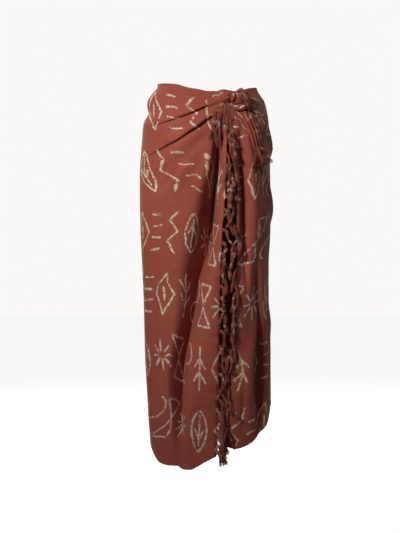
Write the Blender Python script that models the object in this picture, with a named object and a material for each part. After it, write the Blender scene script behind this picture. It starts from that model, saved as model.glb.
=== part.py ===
"""Sarong wrapped once round the hips and tied in a knot at one side of the front.

The cloth is held open as if worn: a tall hollow tube with a slit below the knot. Metres, +Z up.
The viewer stands on the -Y side. The origin is the middle of the waist, where the wearer holds it.
A place on the cloth is a turn round the figure and a height. Turn is in degrees: 0 is the middle
of the front, 90 the viewer's left, 180 the back and 270 the viewer's right.
"""

import math
from collections import namedtuple

import bmesh
import bpy
import numpy as np
from mathutils import Vector
from mathutils.bvhtree import BVHTree

CLOTH = 0.0015
SEAM_GAP = 0.0003
GIRTH_PER_DEGREE = 0.0028
SECTION_POWER = 0.87

LEFT_SIDE_TURN = 90.0
RIGHT_SIDE_TURN = 270.0
FULL_TURN = 360.0

RUST = (0.27, 0.075, 0.05, 1.0)
DARK_RUST = (0.20, 0.05, 0.035, 1.0)
CLOTH_ROUGHNESS = 0.85

# The figure inside the cloth: how far it reaches left, right, front and back at each height.
Section = namedtuple("Section", "z left right front back")
SECTIONS = (
    Section(0.000, 0.134, 0.138, 0.088, 0.096),
    Section(-0.012, 0.135, 0.140, 0.090, 0.098),
    Section(-0.022, 0.144, 0.144, 0.094, 0.102),
    Section(-0.034, 0.153, 0.151, 0.098, 0.107),
    Section(-0.050, 0.159, 0.162, 0.103, 0.113),
    Section(-0.080, 0.162, 0.170, 0.110, 0.122),
    Section(-0.110, 0.173, 0.174, 0.116, 0.130),
    Section(-0.150, 0.177, 0.176, 0.121, 0.139),
    Section(-0.200, 0.181, 0.177, 0.125, 0.145),
    Section(-0.260, 0.184, 0.178, 0.126, 0.146),
    Section(-0.320, 0.184, 0.179, 0.125, 0.143),
    Section(-0.400, 0.183, 0.179, 0.124, 0.138),
    Section(-0.500, 0.178, 0.174, 0.122, 0.132),
    Section(-0.600, 0.174, 0.174, 0.121, 0.128),
    Section(-0.750, 0.171, 0.179, 0.120, 0.124),
    Section(-0.880, 0.163, 0.179, 0.118, 0.120),
    Section(-0.960, 0.157, 0.177, 0.116, 0.117),
    Section(-1.070, 0.147, 0.172, 0.113, 0.113),
)

# The waist edge and the hem, as heights round the wrap.
Border = namedtuple("Border", "turn z")
WAIST_EDGE = (
    Border(-19, -0.040),
    Border(-11.5, -0.039),
    Border(-5, -0.035),
    Border(0, -0.032),
    Border(5, -0.028),
    Border(15, -0.023),
    Border(21, -0.019),
    Border(36, -0.010),
    Border(69, -0.004),
    Border(90, -0.002),
    Border(180, -0.006),
    Border(270, -0.012),
    Border(307, -0.020),
    Border(330, -0.034),
    Border(338, -0.040),
)
HEM = (
    Border(-7, -1.018),
    Border(0, -1.032),
    Border(6, -1.045),
    Border(14, -1.055),
    Border(23, -1.055),
    Border(29, -1.046),
    Border(40, -1.046),
    Border(55, -1.041),
    Border(72, -1.017),
    Border(90, -0.992),
    Border(120, -0.975),
    Border(180, -0.965),
    Border(210, -0.955),
    Border(240, -0.925),
    Border(260, -0.893),
    Border(271, -0.885),
    Border(283, -0.908),
    Border(290, -0.933),
    Border(298, -0.953),
    Border(311, -0.975),
    Border(325, -0.992),
    Border(336, -0.999),
    Border(344, -0.994),
    Border(348, -0.988),
)

# The two fringed ends of the cloth, which hang from the knot on each side of the slit.
End = namedtuple("End", "z turn")
LEFT_END = (
    End(-0.040, -17.5),
    End(-0.085, -16.7),
    End(-0.126, -16.0),
    End(-0.194, -15.0),
    End(-0.288, -14.0),
    End(-0.369, -12.4),
    End(-0.409, -11.1),
    End(-0.490, -10.7),
    End(-0.570, -9.9),
    End(-0.678, -9.0),
    End(-0.785, -8.5),
    End(-0.866, -8.0),
    End(-0.947, -7.4),
    End(-1.030, -6.7),
)
RIGHT_END = (
    End(-0.040, 334.0),
    End(-0.085, 337.0),
    End(-0.131, 338.8),
    End(-0.194, 339.5),
    End(-0.261, 338.5),
    End(-0.328, 337.0),
    End(-0.409, 336.3),
    End(-0.540, 335.3),
    End(-0.624, 336.3),
    End(-0.705, 338.6),
    End(-0.813, 341.6),
    End(-0.894, 341.6),
    End(-0.934, 344.2),
    End(-0.990, 347.5),
)

# A fold is a line over the cloth. Its height stands out of the cloth where positive and sinks in
# where negative, and fades over near above the line, or on the viewer's left of one that runs
# down, and over far on its other side.
Fold = namedtuple("Fold", "turn z height near far")
UPPER_PLEAT = (
    Fold(-19, -0.056, 0.000, 0.010, 0.004),
    Fold(-8, -0.061, 0.004, 0.012, 0.004),
    Fold(-1, -0.067, 0.008, 0.016, 0.004),
    Fold(6, -0.077, 0.010, 0.020, 0.004),
    Fold(14, -0.088, 0.010, 0.024, 0.005),
    Fold(24, -0.098, 0.009, 0.026, 0.006),
    Fold(34, -0.108, 0.007, 0.026, 0.007),
    Fold(47, -0.116, 0.004, 0.024, 0.009),
    Fold(61, -0.121, 0.002, 0.022, 0.012),
    Fold(90, -0.124, 0.000, 0.022, 0.012),
)
LOWER_PLEAT = (
    Fold(-19, -0.078, 0.000, 0.010, 0.004),
    Fold(-8, -0.088, 0.006, 0.012, 0.004),
    Fold(-1.5, -0.099, 0.011, 0.018, 0.004),
    Fold(4, -0.116, 0.013, 0.024, 0.004),
    Fold(12, -0.134, 0.013, 0.028, 0.005),
    Fold(20, -0.153, 0.011, 0.030, 0.006),
    Fold(30, -0.169, 0.009, 0.032, 0.007),
    Fold(41, -0.184, 0.007, 0.032, 0.009),
    Fold(54, -0.198, 0.004, 0.030, 0.012),
    Fold(66, -0.210, 0.002, 0.028, 0.014),
    Fold(90, -0.226, 0.000, 0.028, 0.014),
)
FRONT_VALLEY = (
    Fold(-9.5, -0.110, 0.000, 0.012, 0.008),
    Fold(-9.2, -0.150, -0.012, 0.016, 0.008),
    Fold(-8.6, -0.194, -0.022, 0.022, 0.009),
    Fold(-7.8, -0.245, -0.028, 0.028, 0.009),
    Fold(-5.7, -0.302, -0.033, 0.036, 0.009),
    Fold(-4.5, -0.374, -0.036, 0.046, 0.010),
    Fold(-2.8, -0.425, -0.036, 0.052, 0.011),
    Fold(0, -0.479, -0.034, 0.054, 0.013),
    Fold(6, -0.541, -0.031, 0.050, 0.017),
    Fold(8.8, -0.592, -0.028, 0.045, 0.020),
    Fold(12.7, -0.643, -0.026, 0.041, 0.024),
    Fold(18.2, -0.694, -0.022, 0.036, 0.028),
    Fold(22.7, -0.745, -0.018, 0.030, 0.032),
    Fold(25.9, -0.810, -0.014, 0.026, 0.030),
    Fold(26.6, -0.867, -0.013, 0.024, 0.026),
    Fold(24.8, -0.934, -0.013, 0.025, 0.018),
    Fold(24.0, -0.988, -0.014, 0.027, 0.012),
    Fold(24.0, -1.060, -0.015, 0.030, 0.010),
)
FRONT_RIBBON = (
    Fold(-12.2, -0.110, 0.000, 0.005, 0.020),
    Fold(-11.8, -0.194, 0.002, 0.005, 0.020),
    Fold(-10.6, -0.245, 0.002, 0.005, 0.022),
    Fold(-8.6, -0.302, 0.003, 0.005, 0.026),
    Fold(-7.2, -0.374, 0.004, 0.005, 0.032),
    Fold(-5.6, -0.436, 0.006, 0.005, 0.036),
    Fold(-2.4, -0.503, 0.007, 0.005, 0.040),
    Fold(0.2, -0.570, 0.008, 0.006, 0.044),
    Fold(3.0, -0.651, 0.007, 0.006, 0.048),
    Fold(4.7, -0.718, 0.006, 0.006, 0.050),
    Fold(6.3, -0.772, 0.005, 0.007, 0.050),
    Fold(8.2, -0.853, 0.003, 0.008, 0.050),
    Fold(9.4, -0.920, 0.000, 0.008, 0.050),
    Fold(10.5, -1.050, 0.000, 0.008, 0.050),
)
SLIT_VALLEY = (
    Fold(330, -0.105, 0.000, 0.009, 0.009),
    Fold(330.6, -0.193, -0.018, 0.010, 0.010),
    Fold(329, -0.260, -0.022, 0.010, 0.011),
    Fold(328, -0.328, -0.024, 0.011, 0.012),
    Fold(328, -0.398, -0.022, 0.012, 0.013),
    Fold(328.4, -0.462, -0.016, 0.013, 0.013),
    Fold(330, -0.530, -0.009, 0.013, 0.013),
    Fold(331, -0.590, 0.000, 0.013, 0.013),
)
HIP_RIDGE = (
    Fold(323, -0.120, 0.002, 0.012, 0.018),
    Fold(322, -0.206, 0.006, 0.013, 0.022),
    Fold(316, -0.286, 0.007, 0.015, 0.026),
    Fold(314, -0.367, 0.007, 0.015, 0.028),
    Fold(317, -0.462, 0.006, 0.015, 0.028),
    Fold(320, -0.530, 0.005, 0.015, 0.026),
    Fold(322, -0.620, 0.000, 0.015, 0.026),
)
SIDE_FOLD = (
    Fold(310, -0.450, 0.000, 0.007, 0.022),
    Fold(309, -0.571, -0.009, 0.007, 0.026),
    Fold(310.5, -0.644, -0.014, 0.008, 0.032),
    Fold(315.5, -0.687, -0.020, 0.009, 0.038),
    Fold(324.5, -0.746, -0.025, 0.010, 0.042),
    Fold(330.0, -0.795, -0.023, 0.010, 0.046),
    Fold(331.0, -0.827, -0.019, 0.010, 0.046),
    Fold(328.5, -0.868, -0.014, 0.010, 0.042),
    Fold(328.0, -0.911, -0.008, 0.010, 0.038),
    Fold(328.0, -1.000, -0.004, 0.010, 0.034),
)
HIP_SWAGS = (
    (
        Fold(345, -0.064, 0.000, 0.008, 0.008),
        Fold(318, -0.074, 0.002, 0.010, 0.008),
        Fold(300, -0.096, 0.005, 0.014, 0.009),
        Fold(285, -0.140, 0.007, 0.018, 0.010),
        Fold(270, -0.180, 0.009, 0.020, 0.012),
        Fold(250, -0.205, 0.005, 0.024, 0.016),
        Fold(225, -0.220, 0.000, 0.026, 0.020),
    ),
    (
        Fold(345, -0.130, 0.000, 0.012, 0.010),
        Fold(316, -0.168, 0.001, 0.016, 0.010),
        Fold(300, -0.240, 0.004, 0.022, 0.012),
        Fold(285, -0.305, 0.006, 0.026, 0.014),
        Fold(270, -0.350, 0.008, 0.026, 0.016),
        Fold(250, -0.385, 0.005, 0.030, 0.020),
        Fold(228, -0.405, 0.000, 0.032, 0.024),
    ),
    (
        Fold(300, -0.560, 0.000, 0.026, 0.018),
        Fold(285, -0.620, 0.003, 0.030, 0.020),
        Fold(270, -0.665, 0.004, 0.030, 0.022),
        Fold(250, -0.700, 0.000, 0.034, 0.026),
    ),
)
WAIST_BULGE = (
    Fold(62, -0.050, 0.000, 0.016, 0.018),
    Fold(80, -0.055, 0.004, 0.016, 0.018),
    Fold(96, -0.056, 0.004, 0.016, 0.018),
    Fold(125, -0.058, 0.000, 0.016, 0.018),
)
WAIST_NOTCH = (
    Fold(64, -0.086, 0.000, 0.010, 0.012),
    Fold(80, -0.084, -0.004, 0.010, 0.012),
    Fold(96, -0.084, -0.004, 0.010, 0.012),
    Fold(120, -0.086, 0.000, 0.010, 0.012),
)

# Soft flutes that run down the hidden back: the turn at the top and at the hem, and the height.
Flute = namedtuple("Flute", "top_turn hem_turn height width")
FLUTE_TOP_Z = -0.20
FLUTE_HEM_Z = -1.07
FLUTES = (
    Flute(103, 106, -0.008, 0.026),
    Flute(128, 124, 0.008, 0.028),
    Flute(150, 147, -0.009, 0.026),
    Flute(170, 172, 0.009, 0.030),
    Flute(192, 196, -0.010, 0.026),
    Flute(212, 217, 0.008, 0.028),
    Flute(234, 238, -0.008, 0.026),
    Flute(252, 257, 0.006, 0.026),
)

# How many faces lie between one guide line of a stretch and the next.
FRONT_COLUMNS = (3, 3, 14)
FRONT_ROWS = (4, 1, 3, 1, 21)
SIDE_COLUMNS = (6, 9)
SIDE_ROWS = (5, 5, 15)
BACK_COLUMNS = (16,)
BACK_ROWS = (4, 4, 12)
BACK_GUIDES = (
    (Border(90, -0.124), Border(180, -0.150), Border(270, -0.180)),
    (Border(90, -0.226), Border(180, -0.290), Border(270, -0.350)),
)
PLEAT_UNDERCUT = 0.005
GRID_PASSES = 30

# A gathered piece of the knot is laid over what is beneath it, along a line on the front.
Gather = namedtuple("Gather", "x z width thickness")
KNOT_BACK = (
    Gather(0.040, -0.048, 0.022, 0.004),
    Gather(0.056, -0.050, 0.028, 0.006),
    Gather(0.072, -0.050, 0.032, 0.008),
    Gather(0.088, -0.047, 0.032, 0.008),
    Gather(0.104, -0.044, 0.024, 0.004),
)
TIE_FLAP = (
    Gather(0.005, -0.076, 0.034, 0.002),
    Gather(0.021, -0.066, 0.037, 0.003),
    Gather(0.036, -0.053, 0.040, 0.005),
    Gather(0.050, -0.046, 0.036, 0.008),
    Gather(0.062, -0.045, 0.029, 0.010),
    Gather(0.074, -0.051, 0.022, 0.009),
)
TIE_TAIL = (
    Gather(0.103, -0.078, 0.020, 0.007),
    Gather(0.109, -0.094, 0.026, 0.010),
    Gather(0.118, -0.112, 0.033, 0.010),
    Gather(0.128, -0.134, 0.034, 0.009),
    Gather(0.135, -0.158, 0.030, 0.008),
    Gather(0.139, -0.184, 0.024, 0.005),
)
KNOT_BAND = (
    Gather(0.070, -0.072, 0.026, 0.006),
    Gather(0.078, -0.069, 0.036, 0.012),
    Gather(0.091, -0.066, 0.042, 0.017),
    Gather(0.104, -0.067, 0.038, 0.016),
    Gather(0.114, -0.070, 0.028, 0.011),
    Gather(0.120, -0.073, 0.018, 0.006),
)
KNOT_TUFT = (
    Gather(0.091, -0.033, 0.007, 0.004),
    Gather(0.100, -0.040, 0.010, 0.006),
    Gather(0.111, -0.052, 0.011, 0.006),
    Gather(0.121, -0.065, 0.010, 0.006),
    Gather(0.129, -0.078, 0.006, 0.004),
)
LAY_GAP = 0.0005
LAY_REACH = 0.003
STRIP_REACH = 0.0024
EVEN_PASSES = 6
CLEAR_PASSES = 24
SEAT_PASSES = 16
LAY_STEP = 0.0003

# Fringe: twisted tassels of the cloth's own yarn, rooted in a narrow strip along an edge.
TASSEL = 0.0032
STRIP = 0.0050
ROOT_REACH = 0.003
FORWARD_LEAN = 0.18
TASSEL_RINGS = (0.08, 0.26, 0.50, 0.76, 1.0)
TIP_SHARE = 0.55
EDGE_STEP = 0.004
ROOT_ROUND = 0.003
END_UNEVEN = 0.08
LAID_UNEVEN = 0.12
LAID_CLEAR = 0.85 * TASSEL
LAID_SPACING = 0.0075
FRONT_SIDE = 1
OUTER_SIDE = 2
STEEPEST_FALL_BACK = 0.25
EndFringe = namedtuple("EndFringe", "top bottom tassels length lean")
LEFT_FRINGE = EndFringe(-0.205, -0.985, 33, 0.064, 0.200)
RIGHT_FRINGE = EndFringe(-0.130, -0.955, 34, 0.062, 0.130)
NARROW_SLIT = 0.018
WIDE_SLIT = 0.038
LaidFringe = namedtuple("LaidFringe", "length lean")
FLAP_FRINGE = LaidFringe(0.075, -0.04)
TAIL_FRINGE = LaidFringe(0.042, 0.02)
FLAP_FRINGED_ROWS = slice(0, 9)


def smooth_table(at, places, values):
    """Values between the rows of a table, on a smooth curve that never overshoots a row."""
    order = np.argsort(places)
    x = np.asarray(places, float)[order]
    y = np.asarray(values, float)[order]
    step = np.diff(x)
    slope = np.diff(y) / step
    tangent = np.zeros(len(x))
    before, after = slope[:-1], slope[1:]
    same_way = before * after > 0
    tangent[1:-1][same_way] = 2 / (1 / before[same_way] + 1 / after[same_way])
    tangent[0], tangent[-1] = slope[0], slope[-1]
    at = np.clip(np.asarray(at, float), x[0], x[-1])
    i = np.clip(np.searchsorted(x, at, side="right") - 1, 0, len(x) - 2)
    t = (at - x[i]) / step[i]
    rise = t * t * (3 - 2 * t)
    lead = t * (1 - t) * ((1 - t) * tangent[i] - t * tangent[i + 1]) * step[i]
    return y[i] * (1 - rise) + y[i + 1] * rise + lead


def column(rows, name):
    return [getattr(row, name) for row in rows]


def border_height(rows, turn):
    return smooth_table(turn, column(rows, "turn"), column(rows, "z"))


def line_turn(rows, z):
    return smooth_table(z, column(rows, "z"), column(rows, "turn"))


def section_at(z, name):
    return smooth_table(z, column(SECTIONS, "z"), column(SECTIONS, name))


def figure_points(turn, z):
    """Points of the smooth figure under the folds."""
    angle = np.radians(turn)
    across, ahead = np.sin(angle), np.cos(angle)
    wide = np.where(across > 0, section_at(z, "left"), section_at(z, "right"))
    deep = np.where(ahead > 0, section_at(z, "front"), section_at(z, "back"))
    x = -wide * np.sign(across) * np.abs(across) ** SECTION_POWER
    y = -deep * np.sign(ahead) * np.abs(ahead) ** SECTION_POWER
    return np.stack([x, y, z], axis=-1)


def figure_normals(turn, z):
    """Unit normals of the figure, pointing out of it."""
    small_turn, small_rise = 0.5, 0.002
    around = figure_points(turn + small_turn, z) - figure_points(turn - small_turn, z)
    upward = figure_points(turn, z + small_rise) - figure_points(turn, z - small_rise)
    normal = np.cross(upward, around)
    return normal / np.linalg.norm(normal, axis=-1, keepdims=True)


def fold_offset(rows, turn, z):
    """How far one fold moves the cloth out of the figure."""
    px, pz = turn * GIRTH_PER_DEGREE, z
    nearest = np.full(np.shape(turn), np.inf)
    offset = np.zeros(np.shape(turn))
    for a, b in zip(rows, rows[1:]):
        ax, bx = a.turn * GIRTH_PER_DEGREE, b.turn * GIRTH_PER_DEGREE
        dx, dz = bx - ax, b.z - a.z
        t = np.clip(((px - ax) * dx + (pz - a.z) * dz) / (dx * dx + dz * dz), 0, 1)
        gap_x, gap_z = px - ax - t * dx, pz - a.z - t * dz
        away = np.hypot(gap_x, gap_z)
        near_side = (dx * gap_z - dz * gap_x) * (1 if dx >= 0 or abs(dz) > abs(dx) else -1) > 0
        fade = np.where(near_side, a.near + t * (b.near - a.near), a.far + t * (b.far - a.far))
        here = (a.height + t * (b.height - a.height)) * np.exp(-((away / fade) ** 2))
        closer = away < nearest
        offset = np.where(closer, here, offset)
        nearest = np.where(closer, away, nearest)
    return offset


def flute_fold(flute):
    """A flute as a fold: it starts flat and is deepest at the hem."""
    middle_z = (FLUTE_TOP_Z + FLUTE_HEM_Z) / 2
    middle_turn = (flute.top_turn + flute.hem_turn) / 2
    return (
        Fold(flute.top_turn, FLUTE_TOP_Z, 0.0, flute.width, flute.width),
        Fold(middle_turn, middle_z, 0.6 * flute.height, flute.width, flute.width),
        Fold(flute.hem_turn, FLUTE_HEM_Z, flute.height, flute.width, flute.width),
    )


ALL_FOLDS = (
    UPPER_PLEAT,
    LOWER_PLEAT,
    FRONT_VALLEY,
    FRONT_RIBBON,
    SLIT_VALLEY,
    HIP_RIDGE,
    SIDE_FOLD,
    *HIP_SWAGS,
    WAIST_BULGE,
    WAIST_NOTCH,
    *(flute_fold(flute) for flute in FLUTES),
)


def cloth_points(turn, z):
    """Points on the outside of the cloth, folds included."""
    turn, z = np.broadcast_arrays(np.asarray(turn, float), np.asarray(z, float))
    offset = sum(fold_offset(rows, turn, z) for rows in ALL_FOLDS)
    return figure_points(turn, z) + figure_normals(turn, z) * offset[..., None]


def shares_between(counts):
    """Every grid line as (guide, share of the way to the next guide)."""
    lines = [
        (guide, step / count) for guide, count in enumerate(counts) for step in range(count)
    ]
    return [*lines, (len(counts) - 1, 1.0)]


def guided_grid(columns, column_counts, rows, row_counts):
    """A grid of (turn, z) whose lines follow the guides: folds, ends, waist edge and hem."""
    column_lines, row_lines = shares_between(column_counts), shares_between(row_counts)
    turn = np.zeros((len(row_lines), len(column_lines)))
    z = np.full(turn.shape, -0.5)
    for _ in range(GRID_PASSES):
        for j, (guide, share) in enumerate(column_lines):
            first, second = columns[guide](z[:, j]), columns[guide + 1](z[:, j])
            turn[:, j] = first + share * (second - first)
        for i, (guide, share) in enumerate(row_lines):
            first, second = rows[guide](turn[i]), rows[guide + 1](turn[i])
            z[i] = first + share * (second - first)
    return turn, z


def rust_material(name, colour):
    material = bpy.data.materials.new(name)
    material.use_nodes = True
    shader = material.node_tree.nodes["Principled BSDF"]
    shader.inputs["Base Color"].default_value = colour
    shader.inputs["Roughness"].default_value = CLOTH_ROUGHNESS
    shader.inputs["Metallic"].default_value = 0.0
    return material


def mesh_object(name, points, faces, material):
    """A new object from its points and faces, in the wrap's own frame."""
    mesh = bpy.data.meshes.new(name)
    mesh.from_pydata([tuple(point) for point in points], [], faces)
    mesh.validate()
    mesh.shade_smooth()
    mesh.materials.append(material)
    obj = bpy.data.objects.new(name, mesh)
    bpy.context.scene.collection.objects.link(obj)
    return obj


def grid_faces(rows, columns):
    return [
        (i * columns + j, i * columns + j + 1, (i + 1) * columns + j + 1, (i + 1) * columns + j)
        for i in range(rows - 1)
        for j in range(columns - 1)
    ]


def cloth_wall(name, grid, material):
    """One stretch of the wrap: the outer surface from the grid, thickened inwards."""
    turn, z = grid
    points = cloth_points(turn, z)
    obj = mesh_object(name, points.reshape(-1, 3), grid_faces(*turn.shape), material)
    wall = obj.modifiers.new("Wall", "SOLIDIFY")
    wall.thickness = CLOTH
    wall.offset = -1.0
    return obj, points


def always(value):
    return lambda at: np.full(np.shape(at), float(value))


def front_stretch(material):
    """From the fringed end beside the slit to the viewer's left side."""
    gap = SEAM_GAP / GIRTH_PER_DEGREE
    columns = (
        lambda z: line_turn(LEFT_END, z),
        lambda z: line_turn(FRONT_RIBBON, z),
        lambda z: line_turn(FRONT_VALLEY, z),
        always(LEFT_SIDE_TURN - gap / 2),
    )
    rows = (
        lambda turn: border_height(WAIST_EDGE, turn),
        lambda turn: border_height(UPPER_PLEAT, turn),
        lambda turn: border_height(UPPER_PLEAT, turn) - PLEAT_UNDERCUT,
        lambda turn: border_height(LOWER_PLEAT, turn),
        lambda turn: border_height(LOWER_PLEAT, turn) - PLEAT_UNDERCUT,
        lambda turn: border_height(HEM, turn),
    )
    return cloth_wall("front_wrap", guided_grid(columns, FRONT_COLUMNS, rows, FRONT_ROWS), material)


def back_stretch(material):
    """Round the back, from the viewer's left side to the right."""
    gap = SEAM_GAP / GIRTH_PER_DEGREE
    columns = (always(LEFT_SIDE_TURN + gap / 2), always(RIGHT_SIDE_TURN - gap / 2))
    rows = (
        lambda turn: border_height(WAIST_EDGE, turn),
        lambda turn: border_height(BACK_GUIDES[0], turn),
        lambda turn: border_height(BACK_GUIDES[1], turn),
        lambda turn: border_height(HEM, turn),
    )
    return cloth_wall("back_wrap", guided_grid(columns, BACK_COLUMNS, rows, BACK_ROWS), material)


def side_stretch(material):
    """From the viewer's right side to the other fringed end beside the slit."""
    gap = SEAM_GAP / GIRTH_PER_DEGREE
    columns = (
        always(RIGHT_SIDE_TURN + gap / 2),
        lambda z: line_turn(SIDE_FOLD, z),
        lambda z: line_turn(RIGHT_END, z),
    )
    rows = (
        lambda turn: border_height(WAIST_EDGE, turn),
        lambda turn: border_height(HIP_SWAGS[0], turn),
        lambda turn: border_height(HIP_SWAGS[1], turn),
        lambda turn: border_height(HEM, turn),
    )
    return cloth_wall("side_wrap", guided_grid(columns, SIDE_COLUMNS, rows, SIDE_ROWS), material)


class Pile:
    """What has been built so far, to lay the next piece on."""

    def __init__(self):
        self.trees = []

    def add(self, obj):
        bpy.context.view_layer.update()
        graph = bpy.context.evaluated_depsgraph_get()
        self.trees.append(BVHTree.FromObject(obj, graph))

    def touched_by(self, points, faces):
        """The corners of the given four-sided faces that run into anything built so far."""
        halves = [
            half
            for a, b, c, d in faces
            for half in ((a, b, c), (a, c, d), (a, b, d), (b, c, d))
        ]
        tree = BVHTree.FromPolygons(points, halves)
        hits = {half for other in self.trees for half, _ in tree.overlap(other)}
        return {corner for half in hits for corner in halves[half]}

    def front_at(self, x, z):
        """The foremost y there, or the figure's own where nothing is."""
        hits = [tree.ray_cast(Vector((x, -1.0, z)), Vector((0, 1, 0)))[0] for tree in self.trees]
        found = [hit.y for hit in hits if hit is not None and hit.y < 0]
        if found:
            return min(found)
        right = float(section_at(z, "right"))
        across = min(abs(x) / right, 0.98) ** (1 / SECTION_POWER)
        return -float(section_at(z, "front")) * math.cos(math.asin(across)) ** SECTION_POWER

    def lay_at(self, x, z, reach=LAY_REACH):
        """The y of a surface that clears everything within reach of that place."""
        places = [(x + i * reach, z + j * reach) for i in (-1, 0, 1) for j in (-1, 0, 1)]
        return min(self.front_at(*place) for place in places) - LAY_GAP


def evened(depth):
    """Moves each point out to its neighbours' average where it lies deeper than they do."""
    for _ in range(EVEN_PASSES):
        padded = np.pad(depth, 1, mode="edge")
        mean = (padded[:-2, 1:-1] + padded[2:, 1:-1] + padded[1:-1, :-2] + padded[1:-1, 2:]) / 4
        depth = np.minimum(depth, mean)
    return depth


def laid_grid(pile, rows, along, across):
    """Inner and outer points of a gathered piece: flat where it lies, crowned on the outside."""
    shares = np.linspace(0, 1, len(rows))
    at = np.linspace(0, 1, along + 1)
    x, z, width, thickness = (
        smooth_table(at, shares, column(rows, name))[:, None]
        for name in ("x", "z", "width", "thickness")
    )
    dx, dz = np.gradient(x, axis=0), np.gradient(z, axis=0)
    length = np.hypot(dx, dz)
    side = np.linspace(-1, 1, across + 1)[None, :]
    px = x - dz / length * side * width / 2
    pz = z + dx / length * side * width / 2
    lie = np.vectorize(pile.lay_at)
    y = evened(lie(px, pz))
    crown = CLOTH + thickness * np.sqrt(1 - side**2)
    return np.stack([px, y, pz], axis=-1), np.stack([px, y - crown, pz], axis=-1)


def laid_piece(name, pile, rows, material, along=12, across=6):
    """A closed solid between the inner and the outer points, which then joins the pile.

    It gives back the middle of its thickness at each point of its grid.
    """
    inner, outer = laid_grid(pile, rows, along, across)
    count = (along + 1) * (across + 1)
    width = across + 1
    front = grid_faces(along + 1, width)
    back = [tuple(count + corner for corner in reversed(face)) for face in front]
    rim = list(range(width))
    rim += [i * width + across for i in range(1, along + 1)]
    rim += [along * width + j for j in range(across - 1, -1, -1)]
    rim += [i * width for i in range(along - 1, 0, -1)]
    sides = [(b, a, count + a, count + b) for a, b in zip(rim, rim[1:] + rim[:1])]
    points = [Vector(point) for point in (*outer.reshape(-1, 3), *inner.reshape(-1, 3))]
    faces = [*front, *back, *sides]
    for _ in range(CLEAR_PASSES):
        for corner in {k % count for k in pile.touched_by(points, faces)}:
            points[corner].y -= LAY_STEP
            points[corner + count].y -= LAY_STEP
    seat(pile, points, faces)
    obj = mesh_object(name, points, faces, material)
    face_outwards(obj)
    pile.add(obj)
    return np.array([(points[k] + points[k + count]) / 2 for k in range(count)]).reshape(inner.shape)


def seat(pile, points, faces):
    """Moves the points back until they lie a seam's gap from what is beneath."""
    for _ in range(SEAT_PASSES):
        nearer = [point + Vector((0, LAY_STEP + SEAM_GAP, 0)) for point in points]
        if pile.touched_by(nearer, faces):
            return
        for point in points:
            point.y += LAY_STEP


def face_outwards(obj):
    """Turns every face of a closed mesh to look out of it."""
    mesh = bmesh.new()
    mesh.from_mesh(obj.data)
    bmesh.ops.recalc_face_normals(mesh, faces=mesh.faces)
    if mesh.calc_volume(signed=True) < 0:
        bmesh.ops.reverse_faces(mesh, faces=mesh.faces)
    mesh.to_mesh(obj.data)
    mesh.free()


class Edge:
    """The last column of a wall's points, with the way off the cloth and the way to the front."""

    def __init__(self, line, beside):
        self.line, self.beside = line[::-1], beside[::-1]

    def on(self, points, z):
        return Vector([float(np.interp(z, self.line[:, 2], points[:, k])) for k in range(3)])

    def at(self, z):
        """The point at that height, and the directions along, off and in front of the edge."""
        place = self.on(self.line, z)
        along = (self.on(self.line, z - EDGE_STEP) - self.on(self.line, z + EDGE_STEP)).normalized()
        off = place - self.on(self.beside, z)
        off = (off - along * off.dot(along)).normalized()
        front = off.cross(along).normalized()
        if front.y > 0:
            front.negate()
        return place - front * (CLOTH / 2), along, off, front


def fringe_object(name, stations, side, material):
    """A narrow strip with tassels drawn out of one of its four sides, as one closed solid.

    Each station is (place, along, off, front, ring centres of its tassel or None).
    """
    points, faces = [], []
    half = TASSEL / 2

    def ring(centre, off, front):
        start = len(points)
        for o, n in ((0, -half), (0, half), (STRIP, half), (STRIP, -half)):
            points.append(centre + off * (SEAM_GAP + o) + front * n)
        return [start, start + 1, start + 2, start + 3]

    def join(first, second, leave_out=None):
        for k in range(4):
            if k != leave_out:
                faces.append((first[k], first[(k + 1) % 4], second[(k + 1) % 4], second[k]))

    previous = None
    for place, along, off, front, centres in stations:
        if centres is None:
            here = ring(place, off, front)
            join(previous, here)
            previous = here
            continue
        top, bottom = ring(place - along * half, off, front), ring(place + along * half, off, front)
        if previous is None:
            faces.append(tuple(top))
        else:
            join(previous, top)
        join(top, bottom, leave_out=side)
        root = [top[side], top[side + 1], bottom[side + 1], bottom[side]]
        before = sum((points[k] for k in root), Vector()) / 4
        for k, centre in enumerate(centres):
            after = centres[min(k + 1, len(centres) - 1)]
            share = 1 - (1 - TIP_SHARE) * k / (len(centres) - 1)
            corners = square(centre, after - before, off, half * share)
            start = len(points)
            points.extend(least_twisted(corners, [points[i] for i in root]))
            new = [start, start + 1, start + 2, start + 3]
            join(root, new)
            root, before = new, centre
        faces.append(tuple(root))
        previous = bottom
    faces.append(tuple(previous))
    obj = mesh_object(name, points, faces, material)
    face_outwards(obj)
    return obj


def square(centre, along, off, half):
    """Four corners round a point, square to the way along."""
    along = along.normalized()
    front = along.cross(off).normalized()
    cross = front.cross(along)
    return [
        centre + cross * (half * a) + front * (half * b)
        for a, b in ((-1, -1), (-1, 1), (1, 1), (1, -1))
    ]


def least_twisted(corners, root):
    """The corners in the order that twists least from the ring before."""
    middle, root_middle = sum(corners, Vector()) / 4, sum(root, Vector()) / 4
    best, least = corners, math.inf
    for way in (corners, corners[::-1]):
        for k in range(4):
            order = way[k:] + way[:k]
            miss = sum(((c - middle) - (r - root_middle)).length for c, r in zip(order, root))
            if miss < least - 1e-9:
                best, least = order, miss
    return best


def uneven(index, share):
    """A length's own share of the nominal one, different from one tassel to the next."""
    return 1 + share * math.sin(2.4 * index)


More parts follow.
